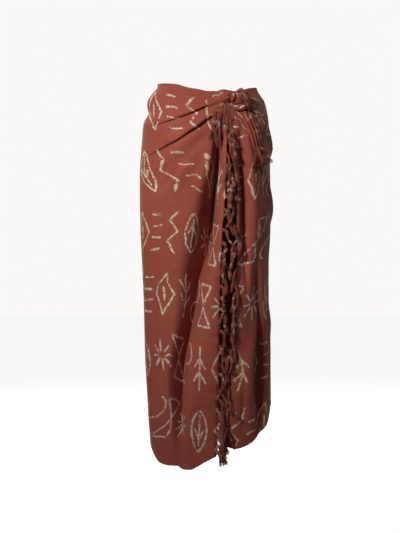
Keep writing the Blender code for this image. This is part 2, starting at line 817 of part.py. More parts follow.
def end_fringe(name, edge, facing, fringe, material):
    """Tassels all down one fringed end. Each leans out past the ones below, so none cross.

    They lean across the slit too, as far as the facing end leaves room.
    """
    heights = np.linspace(fringe.top, fringe.bottom, fringe.tassels)
    corners = [z for z in edge.line[:, 2] if fringe.bottom < z < fringe.top]
    corners = [z for z in corners if np.abs(heights - z).min() > TASSEL]
    stations = []
    for index, z in sorted([*enumerate(heights), *((None, z) for z in corners)], key=lambda at: -at[1]):
        place, along, off, front = edge.at(z)
        if index is None:
            stations.append((place, along, off, front, None))
            continue
        length = fringe.length * uneven(index, END_UNEVEN)
        centres = []
        for share in TASSEL_RINGS:
            drop = length * share
            beside = edge.at(z - drop)[0]
            leaving = ROOT_REACH * (1 - math.exp(-drop / ROOT_ROUND))
            forward = TASSEL / 2 + leaving + FORWARD_LEAN * drop
            slit = (facing.at(z - drop)[0] - beside).length
            room = min(max((slit - NARROW_SLIT) / (WIDE_SLIT - NARROW_SLIT), 0), 1)
            sideways = SEAM_GAP + STRIP / 2 + fringe.lean * room * drop
            centres.append(beside + off * sideways + front * forward)
            centres[-1].z = z - drop
        stations.append((place, along, off, front, centres))
    fringe_object(name, stations, FRONT_SIDE, material)


def laid_fringe(name, pile, rim, fringe, material):
    """Tassels along the rim of a piece of the knot, which hang and lie on what is beneath."""
    steps = np.hypot(np.diff(rim[:, 0]), np.diff(rim[:, 2]))
    way = np.concatenate([[0.0], np.cumsum(steps)])
    count = int(way[-1] / LAID_SPACING)
    roots = (np.arange(count) + 0.5) * way[-1] / count
    corners = [s for s in way[1:-1] if np.abs(roots - s).min() > TASSEL]

    def on_rim(s):
        return Vector([float(np.interp(s, way, rim[:, k])) for k in range(3)])

    front = Vector((0, -1, 0))
    stations = []
    for index, s in sorted([*enumerate(roots), *((None, s) for s in corners)], key=lambda at: at[1]):
        along = on_rim(s + TASSEL) - on_rim(s - TASSEL)
        along = Vector((along.x, 0, along.z)).normalized()
        off = Vector((along.z, 0, -along.x))
        if off.z > 0:
            off.negate()
        place = on_rim(s)
        middle = place + off * (STRIP / 2)
        place.y = min(place.y, pile.lay_at(middle.x, middle.z, STRIP_REACH) - TASSEL / 2)
        centres = None if index is None else hung(pile, place + off * (STRIP + TASSEL), fringe, index)
        stations.append((place, along, off, front, centres))
    pile.add(fringe_object(name, stations, OUTER_SIDE, material))


def hung(pile, root, fringe, index):
    """Ring centres of a tassel that hangs from the root."""
    length = fringe.length * uneven(index, LAID_UNEVEN)
    centres = []
    for share in (0.0, *TASSEL_RINGS[1:]):
        drop = length * share
        x, z = root.x + fringe.lean * drop, root.z - drop
        y = pile.lay_at(x, z, LAY_REACH) - LAID_CLEAR
        if centres:
            above = centres[-1]
            y = min(y, above.y + STEEPEST_FALL_BACK * (above.z - z))
        centres.append(Vector((x, min(y, root.y) if share == 0 else y, z)))
    return centres


def main():
    for obj in list(bpy.data.objects):
        bpy.data.objects.remove(obj)
    cloth = rust_material("cloth", RUST)
    yarn = rust_material("yarn", DARK_RUST)
    front, front_points = front_stretch(cloth)
    side, side_points = side_stretch(cloth)
    back_stretch(cloth)
    pile = Pile()
    pile.add(front)
    pile.add(side)
    laid_piece("knot_back", pile, KNOT_BACK, cloth, along=6)
    flap = laid_piece("tie_flap", pile, TIE_FLAP, cloth)
    tail = laid_piece("tie_tail", pile, TIE_TAIL, cloth)
    laid_piece("knot_band", pile, KNOT_BAND, cloth)
    laid_piece("knot_tuft", pile, KNOT_TUFT, yarn, along=10, across=4)
    laid_fringe("flap_fringe", pile, flap[FLAP_FRINGED_ROWS, 0], FLAP_FRINGE, yarn)
    laid_fringe("tail_fringe", pile, tail[-1], TAIL_FRINGE, yarn)
    left_end = Edge(front_points[:, 0], front_points[:, 1])
    right_end = Edge(side_points[:, -1], side_points[:, -2])
    end_fringe("left_fringe", left_end, right_end, LEFT_FRINGE, yarn)
    end_fringe("right_fringe", right_end, left_end, RIGHT_FRINGE, yarn)


main()
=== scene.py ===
# %% [markdown]
# A sarong is one length of thin printed cloth with fringed ends. It is wrapped once round the
# hips, and its two upper corners are tied at one side of the front. In Blender the wrap could be
# draped by simulation, but its pleats and its slit have known places, so it is shaped here from
# short tables of folds over a smooth hollow figure, finer than the solids it stands for.

import math
from collections import namedtuple

import bpy
import numpy as np
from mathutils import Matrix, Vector, noise
from mathutils.bvhtree import BVHTree


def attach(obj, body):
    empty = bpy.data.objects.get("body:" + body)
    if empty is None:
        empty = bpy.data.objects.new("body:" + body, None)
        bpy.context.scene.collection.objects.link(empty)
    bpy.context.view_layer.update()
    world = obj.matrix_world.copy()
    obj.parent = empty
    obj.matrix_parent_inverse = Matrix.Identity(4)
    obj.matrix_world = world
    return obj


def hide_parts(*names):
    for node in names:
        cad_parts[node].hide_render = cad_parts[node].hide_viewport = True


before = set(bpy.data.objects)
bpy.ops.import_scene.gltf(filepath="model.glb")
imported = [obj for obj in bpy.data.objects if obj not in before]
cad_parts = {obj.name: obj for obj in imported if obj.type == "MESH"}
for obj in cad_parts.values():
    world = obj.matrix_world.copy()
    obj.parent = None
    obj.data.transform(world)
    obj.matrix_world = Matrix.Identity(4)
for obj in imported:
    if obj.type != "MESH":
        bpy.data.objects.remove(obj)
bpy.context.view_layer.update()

# %% [markdown]
# Every place on the wrap is a turn round the figure and a height. Turn 0 is the middle of the
# front, 90 the viewer's left, 180 the back. The figure's reach to each side is read at a few
# heights, and smooth curves join the rows. Heights and reaches are in metres.

# %% the figure inside the cloth
GIRTH_PER_DEGREE = 0.0028
SECTION_POWER = 0.87
LEFT_SIDE_TURN = 90.0
RIGHT_SIDE_TURN = 270.0

Section = namedtuple("Section", "z left right front back")
SECTIONS = (
    Section(0.000, 0.134, 0.138, 0.088, 0.096),
    Section(-0.012, 0.135, 0.140, 0.090, 0.098),
    Section(-0.022, 0.144, 0.144, 0.094, 0.102),
    Section(-0.034, 0.153, 0.151, 0.098, 0.107),
    Section(-0.050, 0.159, 0.162, 0.103, 0.113),
    Section(-0.080, 0.162, 0.170, 0.110, 0.122),
    Section(-0.110, 0.173, 0.174, 0.116, 0.130),
    Section(-0.150, 0.177, 0.176, 0.121, 0.139),
    Section(-0.200, 0.181, 0.177, 0.125, 0.145),
    Section(-0.260, 0.184, 0.178, 0.126, 0.146),
    Section(-0.320, 0.184, 0.179, 0.125, 0.143),
    Section(-0.400, 0.183, 0.179, 0.124, 0.138),
    Section(-0.500, 0.178, 0.174, 0.122, 0.132),
    Section(-0.600, 0.174, 0.174, 0.121, 0.128),
    Section(-0.750, 0.171, 0.179, 0.120, 0.124),
    Section(-0.880, 0.163, 0.179, 0.118, 0.120),
    Section(-0.960, 0.157, 0.177, 0.116, 0.117),
    Section(-1.070, 0.147, 0.172, 0.113, 0.113),
)
print(len(SECTIONS), "sections of the figure")

# %% [markdown]
# The cloth ends above at the waist edge, which dips towards the knot, and below at the hem, which
# is uneven because the cloth was wrapped by hand. Each edge is a height at a few turns.

# %% the waist edge and the hem
Border = namedtuple("Border", "turn z")
WAIST_EDGE = (
    Border(-19, -0.040),
    Border(-11.5, -0.039),
    Border(-5, -0.035),
    Border(0, -0.032),
    Border(5, -0.028),
    Border(15, -0.023),
    Border(21, -0.019),
    Border(36, -0.010),
    Border(69, -0.004),
    Border(90, -0.002),
    Border(180, -0.006),
    Border(270, -0.012),
    Border(307, -0.020),
    Border(330, -0.034),
    Border(338, -0.040),
)
HEM = (
    Border(-7, -1.018),
    Border(0, -1.032),
    Border(6, -1.045),
    Border(14, -1.055),
    Border(23, -1.055),
    Border(29, -1.046),
    Border(40, -1.046),
    Border(55, -1.041),
    Border(72, -1.017),
    Border(90, -0.992),
    Border(120, -0.975),
    Border(180, -0.965),
    Border(210, -0.955),
    Border(240, -0.925),
    Border(260, -0.893),
    Border(271, -0.885),
    Border(283, -0.908),
    Border(290, -0.933),
    Border(298, -0.953),
    Border(311, -0.975),
    Border(325, -0.992),
    Border(336, -0.999),
    Border(344, -0.994),
    Border(348, -0.988),
)
print(len(WAIST_EDGE), "places on the waist edge,", len(HEM), "on the hem")

# %% [markdown]
# The two fringed ends of the cloth face each other across the slit. They wander as they hang, so
# each is a turn at a few heights.

# %% the two ends of the cloth
End = namedtuple("End", "z turn")
LEFT_END = (
    End(-0.040, -17.5),
    End(-0.085, -16.7),
    End(-0.126, -16.0),
    End(-0.194, -15.0),
    End(-0.288, -14.0),
    End(-0.369, -12.4),
    End(-0.409, -11.1),
    End(-0.490, -10.7),
    End(-0.570, -9.9),
    End(-0.678, -9.0),
    End(-0.785, -8.5),
    End(-0.866, -8.0),
    End(-0.947, -7.4),
    End(-1.030, -6.7),
)
RIGHT_END = (
    End(-0.040, 334.0),
    End(-0.085, 337.0),
    End(-0.131, 338.8),
    End(-0.194, 339.5),
    End(-0.261, 338.5),
    End(-0.328, 337.0),
    End(-0.409, 336.3),
    End(-0.540, 335.3),
    End(-0.624, 336.3),
    End(-0.705, 338.6),
    End(-0.813, 341.6),
    End(-0.894, 341.6),
    End(-0.934, 344.2),
    End(-0.990, 347.5),
)
slit_degrees = RIGHT_END[0].turn - 360 - LEFT_END[0].turn
print("the ends are", round(-1000 * slit_degrees * GIRTH_PER_DEGREE), "mm apart at the top")

# %% [markdown]
# Cloth pulled to one point makes pleats and troughs that all run to the knot. Each is a line over
# the cloth with a height, positive for a ridge and negative for a trough, and a width on each of
# its sides. A row is one place on the line. Two pleats fall from the knot to the viewer's left.

# %% the pleats that fall from the knot
Fold = namedtuple("Fold", "turn z height near far")
UPPER_PLEAT = (
    Fold(-19, -0.056, 0.000, 0.010, 0.004),
    Fold(-8, -0.061, 0.004, 0.012, 0.004),
    Fold(-1, -0.067, 0.008, 0.016, 0.004),
    Fold(6, -0.077, 0.010, 0.020, 0.004),
    Fold(14, -0.088, 0.010, 0.024, 0.005),
    Fold(24, -0.098, 0.009, 0.026, 0.006),
    Fold(34, -0.108, 0.007, 0.026, 0.007),
    Fold(47, -0.116, 0.004, 0.024, 0.009),
    Fold(61, -0.121, 0.002, 0.022, 0.012),
    Fold(90, -0.124, 0.000, 0.022, 0.012),
)
LOWER_PLEAT = (
    Fold(-19, -0.078, 0.000, 0.010, 0.004),
    Fold(-8, -0.088, 0.006, 0.012, 0.004),
    Fold(-1.5, -0.099, 0.011, 0.018, 0.004),
    Fold(4, -0.116, 0.013, 0.024, 0.004),
    Fold(12, -0.134, 0.013, 0.028, 0.005),
    Fold(20, -0.153, 0.011, 0.030, 0.006),
    Fold(30, -0.169, 0.009, 0.032, 0.007),
    Fold(41, -0.184, 0.007, 0.032, 0.009),
    Fold(54, -0.198, 0.004, 0.030, 0.012),
    Fold(66, -0.210, 0.002, 0.028, 0.014),
    Fold(90, -0.226, 0.000, 0.028, 0.014),
)
print("places on the pleats:", len(UPPER_PLEAT), "and", len(LOWER_PLEAT))

# %% [markdown]
# Under the pleats the cloth sinks into one long valley, which starts beside the slit and runs
# away to the left. A raised ribbon of cloth lies between it and the fringed end, and a low wall
# makes its left bank steep. The solids have the valley too. Here it is deeper and narrower,
# because the depth of its shade shows only in a render.

# %% the front valley and its banks
FRONT_VALLEY = (
    Fold(-9.5, -0.110, 0.000, 0.010, 0.008),
    Fold(-9.2, -0.150, -0.016, 0.010, 0.008),
    Fold(-8.6, -0.194, -0.030, 0.010, 0.009),
    Fold(-7.8, -0.245, -0.040, 0.011, 0.009),
    Fold(-5.7, -0.302, -0.046, 0.013, 0.009),
    Fold(-4.5, -0.374, -0.050, 0.018, 0.010),
    Fold(-2.8, -0.425, -0.052, 0.024, 0.011),
    Fold(0, -0.479, -0.052, 0.029, 0.012),
    Fold(6, -0.541, -0.052, 0.026, 0.016),
    Fold(8.8, -0.592, -0.050, 0.024, 0.020),
    Fold(12.0, -0.643, -0.048, 0.022, 0.025),
    Fold(16.6, -0.694, -0.045, 0.020, 0.028),
    Fold(21.4, -0.745, -0.042, 0.017, 0.029),
    Fold(25.2, -0.810, -0.040, 0.013, 0.026),
    Fold(26.4, -0.867, -0.036, 0.011, 0.022),
    Fold(25.8, -0.934, -0.026, 0.011, 0.016),
    Fold(24.0, -0.988, -0.008, 0.018, 0.012),
    Fold(24.0, -1.060, -0.005, 0.022, 0.010),
)
FRONT_RIBBON = (
    Fold(-12.2, -0.110, 0.000, 0.005, 0.020),
    Fold(-11.8, -0.194, 0.002, 0.005, 0.020),
    Fold(-10.6, -0.245, 0.002, 0.005, 0.022),
    Fold(-8.6, -0.302, 0.003, 0.005, 0.026),
    Fold(-7.2, -0.374, 0.004, 0.005, 0.032),
    Fold(-5.6, -0.436, 0.006, 0.005, 0.036),
    Fold(-2.4, -0.503, 0.007, 0.005, 0.040),
    Fold(0.2, -0.570, 0.008, 0.006, 0.044),
    Fold(3.0, -0.651, 0.007, 0.006, 0.048),
    Fold(4.7, -0.718, 0.006, 0.006, 0.050),
    Fold(6.3, -0.772, 0.005, 0.007, 0.050),
    Fold(8.2, -0.853, 0.003, 0.008, 0.050),
    Fold(9.4, -0.920, 0.000, 0.008, 0.050),
    Fold(10.5, -1.050, 0.000, 0.008, 0.050),
)
FRONT_WALL = (
    Fold(-9.1, -0.150, 0.000, 0.006, 0.006),
    Fold(-8.4, -0.180, 0.003, 0.007, 0.007),
    Fold(-4.6, -0.247, 0.004, 0.010, 0.009),
    Fold(-0.5, -0.319, 0.003, 0.014, 0.011),
    Fold(2.5, -0.382, 0.002, 0.017, 0.013),
    Fold(7.4, -0.480, 0.003, 0.020, 0.015),
    Fold(12.2, -0.570, 0.003, 0.020, 0.015),
    Fold(17.8, -0.660, 0.004, 0.018, 0.013),
    Fold(24.4, -0.732, 0.006, 0.014, 0.010),
    Fold(29.1, -0.785, 0.008, 0.012, 0.008),
    Fold(30.2, -0.839, 0.009, 0.012, 0.008),
    Fold(28.6, -0.893, 0.008, 0.012, 0.008),
    Fold(26.4, -0.960, 0.003, 0.012, 0.008),
)
deepest = min(row.height for row in FRONT_VALLEY)
print("the front valley sinks", round(-1000 * deepest), "mm below the figure")

# %% [markdown]
# To the right of the slit, a bank stands beside the fringe, and a shallow valley behind it closes
# halfway down. A soft ridge lies on the hip. Lower down is a wide side fold, with a low ridge
# between it and the slit. The bank and the low ridge are not in the solids, and the side fold
# lies further round than theirs, also because of the shade in a render.

# %% the folds to the right of the slit
SLIT_VALLEY = (
    Fold(330, -0.105, 0.000, 0.009, 0.011),
    Fold(330.6, -0.193, -0.012, 0.010, 0.015),
    Fold(329, -0.260, -0.015, 0.010, 0.017),
    Fold(328, -0.328, -0.016, 0.011, 0.018),
    Fold(328, -0.398, -0.015, 0.012, 0.018),
    Fold(328.4, -0.462, -0.011, 0.013, 0.018),
    Fold(330, -0.530, -0.006, 0.013, 0.016),
    Fold(331, -0.590, 0.000, 0.013, 0.013),
)
SLIT_BANK = (
    Fold(338, -0.200, 0.000, 0.010, 0.030),
    Fold(337, -0.330, 0.006, 0.010, 0.045),
    Fold(336.5, -0.480, 0.009, 0.010, 0.050),
    Fold(336.5, -0.620, 0.009, 0.010, 0.050),
    Fold(339, -0.740, 0.007, 0.010, 0.045),
    Fold(342, -0.880, 0.004, 0.010, 0.040),
    Fold(344, -0.960, 0.000, 0.010, 0.030),
)
HIP_RIDGE = (
    Fold(323, -0.120, 0.001, 0.012, 0.018),
    Fold(322, -0.206, 0.004, 0.013, 0.022),
    Fold(316, -0.286, 0.004, 0.015, 0.026),
    Fold(314, -0.367, 0.004, 0.015, 0.028),
    Fold(317, -0.462, 0.003, 0.015, 0.028),
    Fold(320, -0.530, 0.002, 0.015, 0.026),
    Fold(322, -0.620, 0.000, 0.015, 0.026),
)
SIDE_FOLD = (
    Fold(312, -0.450, 0.000, 0.012, 0.012),
    Fold(308, -0.571, -0.008, 0.020, 0.013),
    Fold(304, -0.644, -0.015, 0.028, 0.014),
    Fold(302, -0.687, -0.021, 0.036, 0.015),
    Fold(301, -0.746, -0.026, 0.042, 0.015),
    Fold(301, -0.795, -0.028, 0.044, 0.016),
    Fold(301, -0.827, -0.027, 0.042, 0.016),
    Fold(302, -0.868, -0.024, 0.038, 0.016),
    Fold(303, -0.911, -0.017, 0.034, 0.016),
    Fold(304, -1.000, -0.006, 0.030, 0.016),
)
SIDE_RIDGE = (
    Fold(306, -0.560, 0.000, 0.014, 0.010),
    Fold(311, -0.660, 0.008, 0.020, 0.009),
    Fold(317, -0.730, 0.014, 0.026, 0.008),
    Fold(321.0, -0.785, 0.016, 0.030, 0.008),
    Fold(321.0, -0.839, 0.014, 0.030, 0.008),
    Fold(318, -0.890, 0.008, 0.026, 0.010),
    Fold(316, -0.980, 0.000, 0.020, 0.010),
)
deepest = min(row.height for row in SIDE_FOLD)
print("the side fold sinks", round(-1000 * deepest), "mm below the figure")

# %% [markdown]
# Three swags sling round the viewer's right hip and fade out on the back. On the left, the waist
# has a bulge with a notch under it. Round the back, the cloth hangs in wide flutes, which grow
# from nothing below the hips to their full height at the hem.

# %% the swags, the waist and the flutes
HIP_SWAGS = (
    (
        Fold(345, -0.064, 0.000, 0.008, 0.008),
        Fold(318, -0.074, 0.002, 0.010, 0.008),
        Fold(300, -0.096, 0.005, 0.014, 0.009),
        Fold(285, -0.140, 0.007, 0.018, 0.010),
        Fold(270, -0.180, 0.009, 0.020, 0.012),
        Fold(250, -0.205, 0.005, 0.024, 0.016),
        Fold(225, -0.220, 0.000, 0.026, 0.020),
    ),
    (
        Fold(345, -0.130, 0.000, 0.012, 0.010),
        Fold(316, -0.168, 0.001, 0.016, 0.010),
        Fold(300, -0.240, 0.004, 0.022, 0.012),
        Fold(285, -0.305, 0.006, 0.026, 0.014),
        Fold(270, -0.350, 0.008, 0.026, 0.016),
        Fold(250, -0.385, 0.005, 0.030, 0.020),
        Fold(228, -0.405, 0.000, 0.032, 0.024),
    ),
    (
        Fold(300, -0.560, 0.000, 0.026, 0.018),
        Fold(285, -0.620, 0.003, 0.030, 0.020),
        Fold(270, -0.665, 0.004, 0.030, 0.022),
        Fold(250, -0.700, 0.000, 0.034, 0.026),
    ),
)
WAIST_BULGE = (
    Fold(62, -0.050, 0.000, 0.016, 0.018),
    Fold(80, -0.055, 0.004, 0.016, 0.018),
    Fold(96, -0.056, 0.004, 0.016, 0.018),
    Fold(125, -0.058, 0.000, 0.016, 0.018),
)
WAIST_NOTCH = (
    Fold(64, -0.086, 0.000, 0.010, 0.012),
    Fold(80, -0.084, -0.004, 0.010, 0.012),
    Fold(96, -0.084, -0.004, 0.010, 0.012),
    Fold(120, -0.086, 0.000, 0.010, 0.012),
)
Flute = namedtuple("Flute", "top_turn hem_turn height width")
FLUTE_TOP_Z = -0.20
FLUTE_HEM_Z = -1.07
FLUTES = (
    Flute(103, 106, -0.011, 0.024),
    Flute(128, 124, 0.011, 0.026),
    Flute(150, 147, -0.012, 0.024),
    Flute(170, 172, 0.012, 0.027),
    Flute(192, 196, -0.013, 0.024),
    Flute(212, 217, 0.011, 0.026),
    Flute(234, 238, -0.011, 0.024),
    Flute(252, 257, 0.008, 0.024),
)
print(12 + len(HIP_SWAGS) + len(FLUTES), "large folds")

# %% [markdown]
# Between the large folds, thin cloth breaks into finer creases. Each is listed one by one: it
# starts at nothing, is deepest in the middle and fades out again, so a row gives only its two ends,
# one place between them, its height and its width. Their lengths and depths are uneven on purpose.

# %% the fine creases
Crease = namedtuple("Crease", "turn0 z0 turn1 z1 turn2 z2 height width")
CREASES = (
    Crease(3, -0.050, 22, -0.061, 50, -0.066, 0.0022, 0.0060),
    Crease(6, -0.040, 26, -0.038, 50, -0.034, 0.0014, 0.0060),
    Crease(0, -0.062, 10, -0.070, 24, -0.080, -0.0016, 0.0045),
    Crease(2, -0.088, 22, -0.122, 54, -0.152, 0.0030, 0.0070),
    Crease(0, -0.094, 16, -0.124, 42, -0.158, -0.0022, 0.0050),
    Crease(4, -0.101, 20, -0.137, 34, -0.152, 0.0015, 0.0045),
    Crease(-4, -0.124, 16, -0.176, 56, -0.262, 0.0045, 0.0150),
    Crease(-6, -0.132, 8, -0.196, 34, -0.286, -0.0028, 0.0120),
    Crease(-6, -0.140, 10, -0.218, 44, -0.370, 0.0036, 0.0170),
    Crease(-7, -0.160, 4, -0.270, 24, -0.500, 0.0034, 0.0170),
    Crease(-4, -0.156, 1, -0.167, 8, -0.173, -0.0016, 0.0036),
    Crease(28, -0.290, 44, -0.330, 66, -0.352, 0.0018, 0.0120),
    Crease(40, -0.225, 56, -0.262, 74, -0.285, 0.0022, 0.0110),
    Crease(36, -0.420, 40, -0.680, 44, -1.020, 0.0034, 0.0210),
    Crease(53, -0.480, 53, -0.720, 58, -1.030, -0.0034, 0.0190),
    Crease(69, -0.340, 66, -0.620, 72, -1.010, 0.0038, 0.0190),
    Crease(-8, -0.250, -2, -0.430, 2.7, -0.610, -0.0046, 0.0042),
    Crease(2.5, -0.590, 6, -0.710, 12.7, -0.890, -0.0050, 0.0042),
    Crease(0, -0.440, 5, -0.600, 10, -0.760, 0.0024, 0.0070),
    Crease(25, -0.774, 13.5, -0.768, 4, -0.757, -0.0034, 0.0042),
    Crease(41, -0.300, 29, -0.272, 14, -0.222, -0.0022, 0.0050),
    Crease(46, -0.250, 34, -0.236, 20, -0.200, 0.0016, 0.0050),
    Crease(330, -0.150, 327, -0.340, 324, -0.610, -0.0100, 0.0065),
    Crease(338, -0.400, 336, -0.560, 338, -0.760, 0.0040, 0.0070),
    Crease(82, -0.300, 81, -0.560, 86, -0.930, -0.0030, 0.0170),
    Crease(11, -0.640, 13, -0.830, 15, -1.045, 0.0034, 0.0120),
    Crease(-4, -0.520, -2, -0.740, 1, -1.020, 0.0022, 0.0085),
    Crease(2, -0.860, 4, -0.950, 5, -1.030, -0.0024, 0.0070),
    Crease(-5, -0.962, 4, -1.000, 10, -1.014, -0.0018, 0.0045),
    Crease(30, -0.900, 33, -0.980, 34, -1.045, 0.0026, 0.0110),
    Crease(46, -0.640, 49, -0.655, 60, -0.662, -0.0010, 0.0050),
    Crease(20, -0.500, 30, -0.530, 44, -0.545, 0.0012, 0.0080),
    Crease(62, -0.800, 66, -0.815, 78, -0.818, 0.0010, 0.0050),
    Crease(337, -0.066, 318, -0.080, 288, -0.124, 0.0026, 0.0070),
    Crease(336, -0.092, 322, -0.120, 300, -0.205, -0.0032, 0.0080),
    Crease(335, -0.106, 324, -0.158, 310, -0.280, 0.0032, 0.0090),
    Crease(326, -0.046, 314, -0.054, 298, -0.060, 0.0024, 0.0055),
    Crease(322, -0.034, 306, -0.034, 286, -0.030, -0.0012, 0.0045),
    Crease(341, -0.135, 337, -0.210, 334, -0.300, 0.0026, 0.0065),
    Crease(338, -0.330, 337, -0.420, 336, -0.520, -0.0018, 0.0060),
    Crease(300, -0.430, 301, -0.650, 304, -0.930, 0.0036, 0.0150),
    Crease(288, -0.420, 286, -0.620, 288, -0.900, -0.0036, 0.0170),
    Crease(336, -0.560, 338, -0.660, 341, -0.760, 0.0026, 0.0080),
    Crease(330, -0.800, 329, -0.880, 330, -0.975, -0.0030, 0.0090),
    Crease(340, -0.840, 341, -0.900, 343, -0.975, -0.0022, 0.0070),
    Crease(308, -0.330, 296, -0.372, 280, -0.392, 0.0024, 0.0090),
    Crease(312, -0.255, 300, -0.290, 282, -0.330, -0.0022, 0.0080),
    Crease(96, -0.130, 140, -0.168, 186, -0.190, 0.0063, 0.0110),
    Crease(100, -0.196, 138, -0.226, 170, -0.236, -0.0051, 0.0093),
    Crease(104, -0.262, 150, -0.302, 206, -0.318, 0.0054, 0.0119),
    Crease(262, -0.100, 226, -0.134, 190, -0.146, 0.0054, 0.0093),
    Crease(266, -0.150, 238, -0.172, 214, -0.178, -0.0045, 0.0076),
    Crease(262, -0.300, 236, -0.332, 204, -0.352, -0.0051, 0.0110),
    Crease(256, -0.440, 230, -0.452, 212, -0.450, 0.0033, 0.0093),
    Crease(112, -0.360, 136, -0.384, 168, -0.392, -0.0039, 0.0102),
    Crease(138, -0.520, 137, -0.720, 139, -0.950, 0.0045, 0.0102),
    Crease(160, -0.600, 160, -0.760, 158, -0.955, -0.0048, 0.0093),
    Crease(182, -0.480, 183, -0.700, 184, -0.950, 0.0045, 0.0102),
    Crease(204, -0.560, 205, -0.740, 207, -0.935, -0.0051, 0.0102),
    Crease(224, -0.620, 226, -0.760, 228, -0.915, 0.0039, 0.0085),
    Crease(115, -0.560, 114, -0.740, 115, -0.950, 0.0042, 0.0093),
    Crease(245, -0.500, 247, -0.680, 248, -0.880, -0.0039, 0.0093),
    Crease(110, -0.040, 150, -0.048, 200, -0.046, 0.0024, 0.0059),
    Crease(210, -0.070, 236, -0.078, 262, -0.072, 0.0027, 0.0059),
)
print(len(CREASES), "fine creases")

# %% [markdown]
# The tables are read with smooth curves that never overshoot a row, so an edge has no waves that
# its rows don't ask for.

# %% smooth curves through the rows
def column(rows, name):
    return [getattr(row, name) for row in rows]


def smooth_table(at, places, values):
    order = np.argsort(places)
    x = np.asarray(places, float)[order]
    y = np.asarray(values, float)[order]
    step = np.diff(x)
    slope = np.diff(y) / step
    tangent = np.zeros(len(x))
    before, after = slope[:-1], slope[1:]
    same_way = before * after > 0
    tangent[1:-1][same_way] = 2 / (1 / before[same_way] + 1 / after[same_way])
    tangent[0], tangent[-1] = slope[0], slope[-1]
    at = np.clip(np.asarray(at, float), x[0], x[-1])
    i = np.clip(np.searchsorted(x, at, side="right") - 1, 0, len(x) - 2)
    t = (at - x[i]) / step[i]
    rise = t * t * (3 - 2 * t)
    lead = t * (1 - t) * ((1 - t) * tangent[i] - t * tangent[i + 1]) * step[i]
    return y[i] * (1 - rise) + y[i + 1] * rise + lead


def height_on(rows, turn):
    return smooth_table(turn, column(rows, "turn"), column(rows, "z"))


def turn_on(rows, z):
    return smooth_table(z, column(rows, "z"), column(rows, "turn"))


def section_at(z, name):
    return smooth_table(z, column(SECTIONS, "z"), column(SECTIONS, name))


HIP_Z = -0.26
hip_width = float(section_at(HIP_Z, "left") + section_at(HIP_Z, "right"))
print("the hips are", round(hip_width, 3), "m across")

# %% [markdown]
# Seen from above, the figure is an oval drawn out to its reach on each side, and squared a little
# by a power below one. The direction straight out of it is square to two short steps, one round
# it and one up.

# %% points on the figure and the way out of it
SMALL_TURN = 0.5
SMALL_RISE = 0.002


def figure_points(turn, z):
    angle = np.radians(turn)
    across, ahead = np.sin(angle), np.cos(angle)
    wide = np.where(across > 0, section_at(z, "left"), section_at(z, "right"))
    deep = np.where(ahead > 0, section_at(z, "front"), section_at(z, "back"))
    x = -wide * np.sign(across) * np.abs(across) ** SECTION_POWER
    y = -deep * np.sign(ahead) * np.abs(ahead) ** SECTION_POWER
    return np.stack([x, y, z], axis=-1)


def figure_normals(turn, z):
    sideways = figure_points(turn + SMALL_TURN, z) - figure_points(turn - SMALL_TURN, z)
    upward = figure_points(turn, z + SMALL_RISE) - figure_points(turn, z - SMALL_RISE)
    normal = np.cross(upward, sideways)
    return normal / np.linalg.norm(normal, axis=-1, keepdims=True)


front_of_hips = figure_points(np.array([0.0]), np.array([HIP_Z]))[0]
print("the front of the hips is at", [round(float(value), 3) for value in front_of_hips])

# %% [markdown]
# A fold's height fades away from its line like a bell, with one width on each side, so a pleat
# can be gentle above and steep below. More rows are put between those of a table first, to round
# its corners.

# %% the lift of one fold
ROUND_STEPS = 4


def fold_offset(rows, turn, z):
    """How far a fold lifts the cloth at each place, by the stretch of its line that is nearest."""
    px, pz = turn * GIRTH_PER_DEGREE, z
    nearest = np.full(np.shape(turn), np.inf)
    offset = np.zeros(np.shape(turn))
    for a, b in zip(rows, rows[1:]):
        ax, bx = a.turn * GIRTH_PER_DEGREE, b.turn * GIRTH_PER_DEGREE
        dx, dz = bx - ax, b.z - a.z
        t = np.clip(((px - ax) * dx + (pz - a.z) * dz) / (dx * dx + dz * dz), 0, 1)
        gap_x, gap_z = px - ax - t * dx, pz - a.z - t * dz
        away = np.hypot(gap_x, gap_z)
        near_side = (dx * gap_z - dz * gap_x) * (1 if dx >= 0 or abs(dz) > abs(dx) else -1) > 0
        fade = np.where(near_side, a.near + t * (b.near - a.near), a.far + t * (b.far - a.far))
        here = (a.height + t * (b.height - a.height)) * np.exp(-((away / fade) ** 2))
        closer = away < nearest
        offset = np.where(closer, here, offset)
        nearest = np.where(closer, away, nearest)
    return offset


def rounded(rows):
    """The same fold with more rows, so that its corners are round."""
    places = np.arange(len(rows))
    fine = np.linspace(0, len(rows) - 1, ROUND_STEPS * (len(rows) - 1) + 1)
    columns = [smooth_table(fine, places, column(rows, name)) for name in Fold._fields]
    return [Fold(*row) for row in zip(*columns)]


print("the upper pleat has", len(rounded(UPPER_PLEAT)), "rows once it is rounded")

# %% [markdown]
# Other folds are worked out. A flute and a crease swell and fade on their own. The front valley
# gets three forms more: a wide shoulder that leads down into it, a narrow core where hardly any
# light comes, and the wall, which is a ridge beside a groove. A trough runs under each pleat.

# %% flutes, creases, walls and troughs
FLUTE_MIDDLE = 0.6
CREASE_STEPS = 9
CREASE_SWELL = 0.8
SHOULDER_SHARE = 0.13
SHOULDER_WIDTH = 0.046
CORE_SHARE = 0.22
CORE_WIDTH = 0.0065
WALL_TURN = 4.6
TROUGH_DROP = 0.0055
TROUGH_SHARE = 0.55
TROUGH_WIDTH = 0.0036


